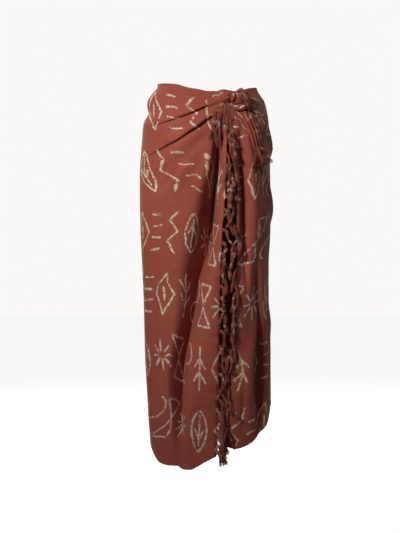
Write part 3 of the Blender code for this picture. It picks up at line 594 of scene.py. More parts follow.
def flute_fold(flute):
    middle_z = (FLUTE_TOP_Z + FLUTE_HEM_Z) / 2
    middle_turn = (flute.top_turn + flute.hem_turn) / 2
    return (
        Fold(flute.top_turn, FLUTE_TOP_Z, 0.0, flute.width, flute.width),
        Fold(middle_turn, middle_z, FLUTE_MIDDLE * flute.height, flute.width, flute.width),
        Fold(flute.hem_turn, FLUTE_HEM_Z, flute.height, flute.width, flute.width),
    )


def crease_fold(crease):
    """A crease as a fold on a bent line, with a height that swells and fades."""
    share = np.linspace(0, 1, CREASE_STEPS)
    first, middle, last = (1 - share) ** 2, 2 * share * (1 - share), share**2
    turn = crease.turn0 * first + crease.turn1 * middle + crease.turn2 * last
    z = crease.z0 * first + crease.z1 * middle + crease.z2 * last
    swell = crease.height * np.sin(np.pi * share) ** CREASE_SWELL
    width = crease.width * (0.75 + 0.35 * share)
    return [Fold(*row) for row in zip(turn, z, swell, width, width)]


def wall(rows):
    """A steep wall along the rows: a ridge on one side of them and a groove on the other."""
    ridge = [row._replace(turn=row.turn + WALL_TURN, far=row.near) for row in rows]
    groove = [row._replace(turn=row.turn - WALL_TURN, height=-row.height) for row in rows]
    return rounded(ridge), rounded(groove)


def shoulder(rows):
    """A wide gentle slope that leads down into a valley from its left bank."""
    wide = [row._replace(height=SHOULDER_SHARE * row.height, near=SHOULDER_WIDTH) for row in rows]
    return rounded(wide)


def core(rows):
    """The narrow deepest line of a valley, where hardly any light comes."""
    deep = [row._replace(height=CORE_SHARE * row.height) for row in rows]
    return rounded([row._replace(near=CORE_WIDTH, far=CORE_WIDTH) for row in deep])


def trough_under(rows):
    """The narrow dark channel below a pleat that hangs over."""
    lower = [row._replace(z=row.z - TROUGH_DROP, height=-TROUGH_SHARE * row.height) for row in rows]
    return rounded([row._replace(near=TROUGH_WIDTH, far=TROUGH_WIDTH) for row in lower])


PLEATS = (rounded(UPPER_PLEAT), rounded(LOWER_PLEAT))
SOFT_FOLDS = (
    *(rounded(rows) for rows in (FRONT_VALLEY, FRONT_RIBBON, SLIT_VALLEY, SLIT_BANK)),
    *(rounded(rows) for rows in (HIP_RIDGE, SIDE_FOLD, SIDE_RIDGE)),
    *(rounded(rows) for rows in (*HIP_SWAGS, WAIST_BULGE, WAIST_NOTCH)),
    shoulder(FRONT_VALLEY),
    core(FRONT_VALLEY),
    *wall(FRONT_WALL),
    trough_under(UPPER_PLEAT),
    trough_under(LOWER_PLEAT),
    *(flute_fold(flute) for flute in FLUTES),
    *(crease_fold(crease) for crease in CREASES),
)
print(len(PLEATS) + len(SOFT_FOLDS), "folds and creases in all")

# %% [markdown]
# Two things more move the cloth: a slight ripple all over, and the waver of the fringed ends. All
# of these lift the cloth straight out of the figure. Where a pleat is pulled tight, its ridge also
# hangs over the cloth below it, which makes the dark line under it.

# %% the whole cloth
PLEAT_DROOP = 0.80
RIPPLE = 0.0007
RIPPLE_ACROSS = 26.0
RIPPLE_DOWN = 9.0
END_FLUTTER = 0.0022
END_REACH = 0.013
FAST_WAVER = 210.0
SLOW_WAVER = 131.0


def ripple(turn, z):
    """Slight unevenness all over, longer down the cloth than across it."""
    flat = zip(np.ravel(turn) * GIRTH_PER_DEGREE * RIPPLE_ACROSS, np.ravel(z) * RIPPLE_DOWN)
    return np.reshape([noise.noise((a, b, 0.0)) for a, b in flat], np.shape(turn)) * RIPPLE


def end_flutter(turn, z):
    """The fringed ends wave a little, because each tassel pulls on its own stretch."""
    left = (turn - turn_on(LEFT_END, z)) * GIRTH_PER_DEGREE
    right = (turn_on(RIGHT_END, z) - turn) * GIRTH_PER_DEGREE
    away = np.maximum(np.minimum(left, right), 0)
    wave = np.sin(z * FAST_WAVER) * 0.5 + np.sin(z * SLOW_WAVER + 1.0) * 0.5
    return END_FLUTTER * wave * np.exp(-((away / END_REACH) ** 2))


def cloth_points(turn, z):
    pleats = sum(fold_offset(rows, turn, z) for rows in PLEATS)
    offset = pleats + sum(fold_offset(rows, turn, z) for rows in SOFT_FOLDS)
    offset = offset + ripple(turn, z) + end_flutter(turn, z)
    points = figure_points(turn, z) + figure_normals(turn, z) * offset[..., None]
    points[..., 2] -= PLEAT_DROOP * pleats
    return points


below_waist = cloth_points(np.array([45.0]), np.array([HIP_Z]))[0]
print("the cloth at the left of the front is at", [round(float(value), 3) for value in below_waist])

# %% [markdown]
# The wrap is one mesh grid. Its lines follow the fringed ends, the pleats, the waist edge and the
# hem, so an edge in the cloth is an edge in the mesh. Between these guide lines the grid is even.

# %% the grid of the whole wrap
GRID_PASSES = 24
PLEAT_UNDERCUT = 0.005
TURNED_WAIST = 0.007
TURNED_HEM = 0.010
WRAP_COLUMNS = (6, 8, 100, 46, 34, 48)
WRAP_ROWS = (3, 16, 5, 17, 5, 138, 3)
UPPER_ROUND = (*UPPER_PLEAT, Border(180, -0.150), *HIP_SWAGS[0][4::-1])
LOWER_ROUND = (*LOWER_PLEAT, Border(180, -0.290), *HIP_SWAGS[1][4::-1])


def always(value):
    return lambda at: np.full(np.shape(at), float(value))


def shares_between(counts):
    lines = [(guide, step / count) for guide, count in enumerate(counts) for step in range(count)]
    return [*lines, (len(counts) - 1, 1.0)]


def guided_grid(columns, column_counts, rows, row_counts):
    """A grid of (turn, z) whose lines follow the guides."""
    column_lines, row_lines = shares_between(column_counts), shares_between(row_counts)
    turn = np.zeros((len(row_lines), len(column_lines)))
    z = np.full(turn.shape, -0.5)
    for _ in range(GRID_PASSES):
        for j, (guide, share) in enumerate(column_lines):
            first, second = columns[guide](z[:, j]), columns[guide + 1](z[:, j])
            turn[:, j] = first + share * (second - first)
        for i, (guide, share) in enumerate(row_lines):
            first, second = rows[guide](turn[i]), rows[guide + 1](turn[i])
            z[i] = first + share * (second - first)
    return turn, z


WRAP_TURN, WRAP_Z = guided_grid(
    (
        lambda z: turn_on(LEFT_END, z),
        lambda z: turn_on(FRONT_RIBBON, z),
        lambda z: turn_on(FRONT_VALLEY, z),
        always(LEFT_SIDE_TURN),
        always(RIGHT_SIDE_TURN),
        lambda z: turn_on(SIDE_FOLD, z),
        lambda z: turn_on(RIGHT_END, z),
    ),
    WRAP_COLUMNS,
    (
        lambda turn: height_on(WAIST_EDGE, turn),
        lambda turn: height_on(WAIST_EDGE, turn) - TURNED_WAIST,
        lambda turn: height_on(UPPER_ROUND, turn),
        lambda turn: height_on(UPPER_ROUND, turn) - PLEAT_UNDERCUT,
        lambda turn: height_on(LOWER_ROUND, turn),
        lambda turn: height_on(LOWER_ROUND, turn) - PLEAT_UNDERCUT,
        lambda turn: height_on(HEM, turn) + TURNED_HEM,
        lambda turn: height_on(HEM, turn),
    ),
    WRAP_ROWS,
)
print("wrap grid", WRAP_TURN.shape, "points")

# %% [markdown]
# Colour comes next, because every piece of cloth wears the same print. It is a resist print:
# hot wax is drawn on pale cloth in short strokes, the cloth is dyed rust, and the wax cracks, so
# dye seeps into the strokes. An image would do it, but strokes worked out from their distance to
# a line stay sharp at any size. The motifs here are plain ones of the craft: leaf, zigzag, rungs,
# lozenge, twig, wave, hourglass and star, laid like bricks.

# %% helpers for shader nodes
def put(tree, value, socket):
    """Links a socket to an input, or sets the input to a plain value."""
    if isinstance(value, bpy.types.NodeSocket):
        tree.links.new(value, socket)
    else:
        socket.default_value = value


def node(tree, kind, inputs=None, **settings):
    made = tree.nodes.new("ShaderNode" + kind)
    for name, value in settings.items():
        setattr(made, name, value)
    for name, value in (inputs or {}).items():
        put(tree, value, made.inputs[name])
    return made


def maths(tree, operation, *values, clamp=False):
    made = node(tree, "Math", dict(enumerate(values)), operation=operation, use_clamp=clamp)
    return made.outputs[0]


def vectors(tree, operation, *values):
    made = node(tree, "VectorMath", operation=operation)
    for place, value in enumerate(values):
        socket = made.inputs["Scale"] if operation == "SCALE" and place == 1 else made.inputs[place]
        put(tree, value, socket)
    return made.outputs["Value" if operation in ("DOT_PRODUCT", "LENGTH") else "Vector"]


def between(tree, value, low, high, to_low=0.0, to_high=1.0):
    """A smooth step from to_low, where the value is low, to to_high, where it is high."""
    made = node(tree, "MapRange", {0: value, 1: low, 2: high, 3: to_low, 4: to_high})
    made.interpolation_type = "SMOOTHSTEP"
    return made.outputs["Result"]


def grain(tree, place, scale, detail):
    """Noise at a place, finer for a larger scale."""
    inputs = {"Vector": place, "Scale": scale, "Detail": detail}
    return node(tree, "TexNoise", inputs).outputs[0]


def group(name, inputs, outputs):
    """An empty node group with named inputs (name: default) and outputs (name: kind)."""
    tree = bpy.data.node_groups.new(name, "ShaderNodeTree")
    kinds = {float: "NodeSocketFloat", tuple: "NodeSocketVector"}
    for label, default in inputs.items():
        made = tree.interface.new_socket(label, in_out="INPUT", socket_type=kinds[type(default)])
        made.default_value = default
    for label, kind in outputs.items():
        tree.interface.new_socket(label, in_out="OUTPUT", socket_type="NodeSocket" + kind)
    entry = tree.nodes.new("NodeGroupInput")
    leave = tree.nodes.new("NodeGroupOutput")
    return tree, entry.outputs, leave.inputs


def use(tree, effect, inputs):
    """An effect's group placed in a material or in another group."""
    made = tree.nodes.new("ShaderNodeGroup")
    made.node_tree = effect
    for name, value in inputs.items():
        put(tree, value, made.inputs[name])
    return made.outputs


print("helpers ready:", [made.__name__ for made in (node, maths, vectors, between, grain, group, use)])

# %% [markdown]
# A stroke is known by how far a place is from it. For a straight one, the place is carried to the
# nearest point between its two ends. For a curved one, the angle round its centre is held between
# the ends of the arc. Both are node groups, since every motif uses them.

# %% one straight and one curved stroke
def straight_stroke_group():
    tree, given, result = group(
        "straight stroke", {"Place": (0, 0, 0), "From": (0, 0, 0), "To": (0, 1, 0)}, {"Distance": "Float"}
    )
    way = vectors(tree, "SUBTRACT", given["To"], given["From"])
    out = vectors(tree, "SUBTRACT", given["Place"], given["From"])
    along = vectors(tree, "DOT_PRODUCT", out, way)
    along = maths(tree, "DIVIDE", along, vectors(tree, "DOT_PRODUCT", way, way))
    along = maths(tree, "MULTIPLY", along, 1.0, clamp=True)
    miss = vectors(tree, "SUBTRACT", out, vectors(tree, "SCALE", way, along))
    put(tree, vectors(tree, "LENGTH", miss), result["Distance"])
    return tree


def curved_stroke_group():
    tree, given, result = group(
        "curved stroke",
        {"Place": (0, 0, 0), "Centre": (0, 0, 0), "Radius": 0.05, "Half Angle": 0.8, "Turn": 0.0},
        {"Distance": "Float"},
    )
    out = vectors(tree, "SUBTRACT", given["Place"], given["Centre"])
    back = maths(tree, "MULTIPLY", given["Turn"], -1.0)
    turned = node(tree, "VectorRotate", {"Vector": out, "Angle": back}, rotation_type="Z_AXIS").outputs[0]
    split = node(tree, "SeparateXYZ", {0: turned}).outputs
    angle = maths(tree, "ARCTAN2", split[1], split[0])
    low = maths(tree, "MULTIPLY", given["Half Angle"], -1.0)
    angle = maths(tree, "MINIMUM", maths(tree, "MAXIMUM", angle, low), given["Half Angle"])
    across, up = maths(tree, "COSINE", angle), maths(tree, "SINE", angle)
    unit = node(tree, "CombineXYZ", {0: across, 1: up}).outputs[0]
    on_arc = vectors(tree, "SCALE", unit, given["Radius"])
    put(tree, vectors(tree, "LENGTH", vectors(tree, "SUBTRACT", turned, on_arc)), result["Distance"])
    return tree


STRAIGHT_STROKE = straight_stroke_group()
CURVED_STROKE = curved_stroke_group()
print("stroke groups:", STRAIGHT_STROKE.name, "and", CURVED_STROKE.name)

# %% [markdown]
# Each motif is a few strokes. Many are the same on both sides, so their place is folded with an
# absolute value, and one stroke then draws two or four. One table says where each motif lies in
# the row and which way it is folded, and the others where its strokes and arcs run.

# %% the motifs
Stroke = namedtuple("Stroke", "motif x0 z0 x1 z1")
Arc = namedtuple("Arc", "motif x z radius half_angle turn")
Motif = namedtuple("Motif", "place fold_x fold_z")
MOTIFS = {
    "leaf": Motif(0.038, True, False),
    "zigzag": Motif(0.100, False, False),
    "rungs": Motif(0.155, False, False),
    "lozenge": Motif(0.216, True, True),
    "twig": Motif(0.283, True, False),
    "wave": Motif(0.342, False, False),
    "hourglass": Motif(0.402, True, True),
    "star": Motif(0.464, True, True),
}
STROKES = (
    Stroke("leaf", 0.000, -0.040, 0.000, 0.036),
    Stroke("leaf", 0.002, 0.018, 0.013, -0.002),
    Stroke("zigzag", -0.011, -0.056, 0.014, -0.027),
    Stroke("zigzag", 0.014, -0.027, -0.012, 0.002),
    Stroke("zigzag", -0.012, 0.002, 0.013, 0.029),
    Stroke("zigzag", 0.013, 0.029, -0.010, 0.056),
    Stroke("rungs", -0.015, -0.046, 0.014, -0.048),
    Stroke("rungs", -0.013, -0.016, 0.015, -0.014),
    Stroke("rungs", -0.015, 0.017, 0.013, 0.014),
    Stroke("rungs", -0.012, 0.046, 0.014, 0.048),
    Stroke("lozenge", 0.029, 0.000, 0.000, 0.055),
    Stroke("lozenge", 0.000, 0.000, 0.000, 0.016),
    Stroke("twig", 0.000, -0.056, 0.000, 0.056),
    Stroke("twig", 0.002, -0.010, 0.019, -0.036),
    Stroke("twig", 0.002, 0.026, 0.018, 0.002),
    Stroke("hourglass", 0.000, 0.004, 0.024, 0.048),
    Stroke("hourglass", 0.000, 0.054, 0.025, 0.054),
    Stroke("star", 0.000, 0.010, 0.000, 0.040),
    Stroke("star", 0.008, 0.008, 0.024, 0.026),
    Stroke("star", 0.011, 0.000, 0.029, 0.000),
)
ARCS = (
    Arc("leaf", -0.051, 0.0, 0.075, 0.80, 0.0),
    Arc("wave", -0.004, -0.028, 0.029, 1.25, 0.0),
    Arc("wave", 0.004, 0.028, 0.029, 1.25, math.pi),
)
print(len(STROKES) + len(ARCS), "strokes in", len(MOTIFS), "motifs")

# %% [markdown]
# The motifs stand in rows down the cloth. Every second row is upside down, and each row is
# shifted along from the one above it. A little noise bends them all, as a hand would. The nearest
# stroke is the least of all the distances.

# %% the way the motifs are laid
ROW_PITCH = 0.168
TILE = 0.500
ROW_SHIFT = 0.181
HAND_WANDER = 0.0045
WANDER_SCALE = 9.0
ROWS_ABOVE = 20.0


def print_lines_group():
    """The distance from a place on the cloth to the nearest stroke, all over."""
    tree, given, result = group("print lines", {"Place": (0, 0, 0)}, {"Distance": "Float"})
    wander = node(tree, "TexNoise", {"Vector": given["Place"], "Scale": WANDER_SCALE, "Detail": 1.0})
    wander = vectors(tree, "SUBTRACT", wander.outputs["Color"], (0.5, 0.5, 0.5))
    drawn = vectors(tree, "ADD", given["Place"], vectors(tree, "SCALE", wander, 2 * HAND_WANDER))
    split = node(tree, "SeparateXYZ", {0: drawn}).outputs
    line = maths(tree, "FLOOR", maths(tree, "DIVIDE", split[1], ROW_PITCH))
    odd = maths(tree, "MODULO", maths(tree, "ADD", line, ROWS_ABOVE), 2.0)
    upside = maths(tree, "SUBTRACT", 1.0, maths(tree, "MULTIPLY", odd, 2.0))
    x = maths(tree, "ADD", split[0], maths(tree, "MULTIPLY", line, ROW_SHIFT))
    x = maths(tree, "FLOORED_MODULO", maths(tree, "MULTIPLY", x, upside), TILE)
    middle = maths(tree, "MULTIPLY", maths(tree, "ADD", line, 0.5), ROW_PITCH)
    z = maths(tree, "MULTIPLY", maths(tree, "SUBTRACT", middle, split[1]), upside)
    places = {}
    for name, motif in MOTIFS.items():
        across = maths(tree, "SUBTRACT", x, motif.place)
        across = maths(tree, "ABSOLUTE", across) if motif.fold_x else across
        down = maths(tree, "ABSOLUTE", z) if motif.fold_z else z
        places[name] = node(tree, "CombineXYZ", {0: across, 1: down}).outputs[0]
    found = []
    for row in STROKES:
        ends = {"From": (row.x0, row.z0, 0), "To": (row.x1, row.z1, 0)}
        found.append(use(tree, STRAIGHT_STROKE, {"Place": places[row.motif], **ends}))
    for row in ARCS:
        shape = {"Radius": row.radius, "Half Angle": row.half_angle, "Turn": row.turn}
        centre = (row.x, row.z, 0)
        found.append(use(tree, CURVED_STROKE, {"Place": places[row.motif], "Centre": centre, **shape}))
    nearest = found[0]["Distance"]
    for other in found[1:]:
        nearest = maths(tree, "MINIMUM", nearest, other["Distance"])
    put(tree, nearest, result["Distance"])
    return tree


PRINT_LINES = print_lines_group()
print("lines group:", PRINT_LINES.name, "with", len(PRINT_LINES.nodes), "nodes")

# %% [markdown]
# Wax strokes are never even: the tool skips, the wax cracks across, and dye creeps in at the
# edges. A cell texture gives the cracks, and noise gives the skips, the swelling and the rough
# edge.

# %% cracked wax
HALF_WIDTH = 0.0029
EDGE_SOFT = 0.0004
SWELL_LEAST = 0.78
SWELL_MOST = 1.18
CRACK_CELLS = 72.0
CRACK_LOW = 0.024
CRACK_HIGH = 0.058
CRACK_BEND = (0.01, 0.013, 0)


def wax_stroke_group():
    inputs = {"Place": (0, 0, 0), "Distance": 0.0, "Half Width": HALF_WIDTH}
    tree, given, result = group("wax stroke", inputs, {"Mask": "Float"})
    rough = grain(tree, given["Place"], 260.0, 2.0)
    swell = grain(tree, given["Place"], 34.0, 1.0)
    skip = grain(tree, given["Place"], 58.0, 2.0)
    chips = grain(tree, given["Place"], 620.0, 1.0)
    ragged = between(tree, rough, 0.3, 0.7, -EDGE_SOFT, EDGE_SOFT)
    distance = maths(tree, "ADD", given["Distance"], ragged)
    swelling = between(tree, swell, 0.3, 0.7, SWELL_LEAST, SWELL_MOST)
    half = maths(tree, "MULTIPLY", given["Half Width"], swelling)
    mask = between(tree, maths(tree, "SUBTRACT", half, distance), -EDGE_SOFT, EDGE_SOFT)
    bent = vectors(tree, "ADD", given["Place"], vectors(tree, "SCALE", CRACK_BEND, rough))
    cell = node(tree, "TexVoronoi", {"Vector": bent, "Scale": CRACK_CELLS}, feature="DISTANCE_TO_EDGE")
    cracks = between(tree, cell.outputs["Distance"], CRACK_LOW, CRACK_HIGH)
    mask = maths(tree, "MULTIPLY", mask, cracks)
    mask = maths(tree, "MULTIPLY", mask, between(tree, skip, 0.63, 0.68, 1.0, 0.0))
    mask = maths(tree, "MULTIPLY", mask, between(tree, chips, 0.66, 0.74, 1.0, 0.5))
    put(tree, mask, result["Mask"])
    return tree


WAX_STROKE = wax_stroke_group()
print("wax group:", WAX_STROKE.name)

# %% [markdown]
# The whole print is the wax along the lines. It stops short of the waist edge and the hem, where
# the craft leaves a plain border, and the place down the cloth tells where that is.

# %% the whole print
PLAIN_TOP = 0.016
PLAIN_FOOT = 0.045
BORDER_SOFT = 0.001
CLOTH_HEIGHT = 1.05


def resist_print_group():
    inputs = {"Place": (0, 0, 0), "Cloth Height": CLOTH_HEIGHT, "Half Width": HALF_WIDTH}
    tree, given, result = group("resist print", inputs, {"Mask": "Float"})
    lines = use(tree, PRINT_LINES, {"Place": given["Place"]})
    stroke = {"Distance": lines["Distance"], "Half Width": given["Half Width"]}
    wax = use(tree, WAX_STROKE, {"Place": given["Place"], **stroke})
    down = node(tree, "SeparateXYZ", {0: given["Place"]}).outputs[1]
    up = maths(tree, "SUBTRACT", given["Cloth Height"], down)
    top = between(tree, down, PLAIN_TOP, PLAIN_TOP + BORDER_SOFT)
    foot = between(tree, up, PLAIN_FOOT, PLAIN_FOOT + BORDER_SOFT)
    put(tree, maths(tree, "MULTIPLY", wax["Mask"], maths(tree, "MULTIPLY", top, foot)), result["Mask"])
    return tree


RESIST_PRINT = resist_print_group()
print("print group:", RESIST_PRINT.name)

# %% [markdown]
# The cloth is a thin plain weave. Its threads are about half a millimetre apart and a little
# uneven, so one group gives the weave's height and the slight streaks in its colour. Dye also
# takes unevenly over larger patches.

# %% the plain weave
THREAD = 0.00055
WARP_STREAKS = (700.0, 14.0, 0.0)
WEFT_STREAKS = (14.0, 700.0, 0.0)
DYE_PATCHES = (7.0, 5.0, 0.0)


def plain_weave_group():
    tree, given, result = group(
        "plain weave", {"Place": (0, 0, 0), "Thread": THREAD}, {"Height": "Float", "Streak": "Float"}
    )
    split = node(tree, "SeparateXYZ", {0: given["Place"]}).outputs
    turns = maths(tree, "DIVIDE", math.pi, given["Thread"])
    warp = maths(tree, "SINE", maths(tree, "MULTIPLY", split[0], turns))
    weft = maths(tree, "SINE", maths(tree, "MULTIPLY", split[1], turns))
    height = maths(tree, "MULTIPLY", maths(tree, "ABSOLUTE", warp), maths(tree, "ABSOLUTE", weft))
    put(tree, height, result["Height"])
    streaks = []
    for stretch in (WARP_STREAKS, WEFT_STREAKS, DYE_PATCHES):
        place = vectors(tree, "MULTIPLY", given["Place"], stretch)
        streaks.append(grain(tree, place, 1.0, 2.0))
    total = maths(tree, "ADD", maths(tree, "ADD", streaks[0], streaks[1]), streaks[2])
    put(tree, maths(tree, "DIVIDE", total, 3.0), result["Streak"])
    return tree


PLAIN_WEAVE = plain_weave_group()
print("weave group:", PLAIN_WEAVE.name)

# %% [markdown]
# Cloth and fringe share one rust finish, since the fringe is the cloth's own warp, and the pale
# strokes of the print run on into it. Rust and undyed cloth each lie between two colours, and the
# streaks of the weave choose between them. A weak sheen stands for the fibre that stands up.

# %% the rust finish with its print
RUST = (0.325, 0.066, 0.040, 1.0)
RUST_PALE = (0.390, 0.096, 0.061, 1.0)
UNDYED = (0.84, 0.72, 0.56, 1.0)
UNDYED_TAN = (0.62, 0.42, 0.28, 1.0)
ROUGH_MOST = 0.84
ROUGH_LEAST = 0.72
SPECULAR = 0.24
SHEEN_ROUGHNESS = 0.45
SHEEN_TINT = (0.95, 0.62, 0.50, 1.0)
CLOTH_MAP = "cloth_metres"


def mixed(tree, factor, first, second):
    made = node(tree, "Mix", data_type="RGBA")
    for name, value in (("Factor", factor), ("A", first), ("B", second)):
        sockets = [s for s in made.inputs if s.name == name and s.type in ("VALUE", "RGBA")]
        put(tree, value, sockets[0] if name == "Factor" else sockets[-1])
    return made.outputs[2]


def rust_finish(name, strength, sheen):
    """A rust material with its print at some strength. Its weave goes back too, for a bump."""
    material = bpy.data.materials.new(name)
    material.use_nodes = True
    tree = material.node_tree
    shader = tree.nodes["Principled BSDF"]
    place = node(tree, "UVMap", uv_map=CLOTH_MAP).outputs[0]
    mask = use(tree, RESIST_PRINT, {"Place": place})["Mask"]
    weave = use(tree, PLAIN_WEAVE, {"Place": place})
    rust = mixed(tree, between(tree, weave["Streak"], 0.35, 0.65), RUST, RUST_PALE)
    pale = mixed(tree, between(tree, weave["Streak"], 0.40, 0.60), UNDYED_TAN, UNDYED)
    printed = maths(tree, "MULTIPLY", mask, strength)
    put(tree, mixed(tree, printed, rust, pale), shader.inputs["Base Color"])
    rough = between(tree, weave["Streak"], 0.3, 0.7, ROUGH_MOST, ROUGH_LEAST)
    put(tree, rough, shader.inputs["Roughness"])
    shader.inputs["Specular IOR Level"].default_value = SPECULAR
    shader.inputs["Sheen Weight"].default_value = sheen
    shader.inputs["Sheen Roughness"].default_value = SHEEN_ROUGHNESS
    shader.inputs["Sheen Tint"].default_value = SHEEN_TINT
    return material, tree, shader, weave


print("the finish reads the map", CLOTH_MAP)

# %% [markdown]
# Three materials are made of it: the outer side of the cloth, its inner side, where the print is
# a little duller, and the twisted yarn. The cloth's bump is its weave. The yarn's is the strands
# that wind round it, with loose fibre over them, read from a map of its own.

# %% cloth and yarn materials
WEAVE_BUMP = 0.35
WEAVE_DEPTH = 0.0002
YARN_STRANDS = 5.0
YARN_LAY = 0.0042
FIBRE_STRETCH = (9.0, 2600.0, 0.0)
FIBRE_SHARE = 0.5
YARN_BUMP = 0.8
YARN_DEPTH = 0.0006
YARN_MAP = "yarn_metres"


def bumped(tree, shader, height, strength, depth):
    bump = node(tree, "Bump", {"Height": height, "Strength": strength, "Distance": depth})
    put(tree, bump.outputs[0], shader.inputs["Normal"])


def cloth_material(name, strength, sheen):
    material, tree, shader, weave = rust_finish(name, strength, sheen)
    bumped(tree, shader, weave["Height"], WEAVE_BUMP, WEAVE_DEPTH)
    return material


def yarn_material(name, strength, sheen):
    """Twisted yarn: fine strands wind round it, and loose fibre blurs them."""
    material, tree, shader, _ = rust_finish(name, strength, sheen)
    place = node(tree, "UVMap", uv_map=YARN_MAP).outputs[0]
    split = node(tree, "SeparateXYZ", {0: place}).outputs
    around_it = maths(tree, "MULTIPLY", split[0], YARN_STRANDS)
    wound = maths(tree, "ADD", around_it, maths(tree, "DIVIDE", split[1], YARN_LAY))
    strands = maths(tree, "ABSOLUTE", maths(tree, "SINE", maths(tree, "MULTIPLY", wound, math.pi)))
    fibre = grain(tree, vectors(tree, "MULTIPLY", place, FIBRE_STRETCH), 1.0, 2.0)
    height = maths(tree, "ADD", strands, maths(tree, "MULTIPLY", fibre, FIBRE_SHARE))
    bumped(tree, shader, height, YARN_BUMP, YARN_DEPTH)
    return material


OUTER_CLOTH = cloth_material("printed cloth", strength=1.0, sheen=0.15)
INNER_CLOTH = cloth_material("printed cloth inside", strength=0.72, sheen=0.10)
FRINGE_YARN = yarn_material("fringe yarn", strength=0.9, sheen=0.25)
print("materials:", [m.name for m in (OUTER_CLOTH, INNER_CLOTH, FRINGE_YARN)])

# %% [markdown]
# A sheet is a grid of points that gets its thickness from a Solidify modifier. Its map holds
# metres along and down the cloth, measured over the folds, so the print bends into them.

# %% a sheet of cloth
SHEET = 0.0007


def mesh_piece(name, points, faces, maps, material):
    """An object from points and faces, with its maps given point by point."""
    mesh = bpy.data.meshes.new(name)
    mesh.from_pydata([tuple(point) for point in points], [], faces)
    corner = np.zeros(len(mesh.loops), int)
    mesh.loops.foreach_get("vertex_index", corner)
    for label, places in maps.items():
        layer = mesh.uv_layers.new(name=label)
        layer.data.foreach_set("uv", np.asarray(places, float)[corner].ravel())
    mesh.shade_smooth()
    mesh.materials.append(material)
    piece = bpy.data.objects.new(name, mesh)
    bpy.context.scene.collection.objects.link(piece)
    return piece


def grid_faces(rows, columns):
    corners = [i * columns + j for i in range(rows - 1) for j in range(columns - 1)]
    return [(at, at + 1, at + columns + 1, at + columns) for at in corners]


def measured(points, axis):
    """How far each point of a grid is from the first one, over the folds, along one axis."""
    steps = np.linalg.norm(np.diff(points, axis=axis), axis=-1)
    far = np.cumsum(steps, axis=axis)
    return np.concatenate([np.zeros_like(np.take(far, [0], axis=axis)), far], axis=axis)


def sheet_piece(name, points, place):
    rows, columns = points.shape[:2]
    maps = {CLOTH_MAP: place.reshape(-1, 2)}
    piece = mesh_piece(name, points.reshape(-1, 3), grid_faces(rows, columns), maps, OUTER_CLOTH)
    piece.data.materials.append(INNER_CLOTH)
    shell = piece.modifiers.new("Cloth", "SOLIDIFY")
    shell.thickness = SHEET
    shell.offset = -1.0
    shell.material_offset = 1
    return piece


print("sheets are", 1000 * SHEET, "mm thick")

# %% [markdown]
# The wrap is the first sheet. Its edges at the waist and the hem are turned once, so they stand a
# little proud of the rest. It takes the place of three solids, and its flat size is measured over
# its folds.

# %% the wrap
WAIST_ROLL = 0.0062
WAIST_ROLL_SOFT = 0.0010
HEM_ROLL = 0.0085
HEM_ROLL_SOFT = 0.0014
ROLL_PROUD = 0.0003


def hemmed(points, turn, z):
    """The points with the turned edges at the waist and the hem a little proud."""
    below = height_on(WAIST_EDGE, turn) - z
    above = z - height_on(HEM, turn)
    waist_roll = 1 - np.tanh((below - WAIST_ROLL) / WAIST_ROLL_SOFT)
    hem_roll = 1 - np.tanh((above - HEM_ROLL) / HEM_ROLL_SOFT)
    proud = ROLL_PROUD * (waist_roll + hem_roll)
    return points + figure_normals(turn, z) * proud[..., None]


wrap_points = hemmed(cloth_points(WRAP_TURN, WRAP_Z), WRAP_TURN, WRAP_Z)
wrap_place = np.stack([measured(wrap_points, 1), measured(wrap_points, 0)], axis=-1)
wrap = sheet_piece("wrap_cloth", wrap_points, wrap_place)
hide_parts("front_wrap", "back_wrap", "side_wrap")
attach(wrap, "root")

# %% [markdown]
# The knot lies on the wrap. Every piece of it is laid over what is already there: rays from the
# front find the foremost cloth, and the new sheet keeps just clear of it. Where there is no
# cloth, over the slit, it lies on the figure.

# %% laying one piece over another
Gather = namedtuple("Gather", "x z width thickness")
LAY_CLEAR = 0.0010
LAY_REACH = 0.0020
RAY_START_Y = -1.0
FRONT_HALF_Y = -0.02
FIGURE_RIM = 0.98
EVEN_PASSES = 10


def front_hit(tree, x, z):
    """Where a ray from the front first meets a piece, or None."""
    return tree.ray_cast(Vector((x, RAY_START_Y, z)), Vector((0, 1, 0)))[0]


class Pile:
    """What has been built so far, to lay the next piece on."""

    def __init__(self):
        self.trees = []

    def add(self, piece):
        bpy.context.view_layer.update()
        self.trees.append(BVHTree.FromObject(piece, bpy.context.evaluated_depsgraph_get()))

    def front_at(self, x, z):
        """The foremost y at that place, or None over the slit."""
        hits = [front_hit(tree, x, z) for tree in self.trees]
        found = [hit.y for hit in hits if hit is not None and hit.y < FRONT_HALF_Y]
        return min(found) if found else None

    def lay_at(self, x, z, reach=LAY_REACH):
        """The y of a surface that clears everything within reach of that place."""
        places = [(x + i * reach, z + j * reach) for i in (-1, 0, 1) for j in (-1, 0, 1)]
        found = [y for y in (self.front_at(*place) for place in places) if y is not None]
        return min(found) if found else float(figure_front(x, z))


def figure_front(x, z):
    """The y of the figure itself, for places with no cloth."""
    right = float(section_at(z, "right"))
    across = min(abs(x) / right, FIGURE_RIM) ** (1 / SECTION_POWER)
    return -float(section_at(z, "front")) * math.cos(math.asin(across)) ** SECTION_POWER


def evened(depth, passes=EVEN_PASSES):
    """Moves each point out to its neighbours' average where it lies deeper than they do."""
    for _ in range(passes):
        padded = np.pad(depth, 1, mode="edge")
        mean = (padded[:-2, 1:-1] + padded[2:, 1:-1] + padded[1:-1, :-2] + padded[1:-1, 2:]) / 4
        depth = np.minimum(depth, mean)
    return depth


pile = Pile()
pile.add(wrap)
print("front of the wrap at the knot:", round(pile.front_at(0.09, -0.06), 4))

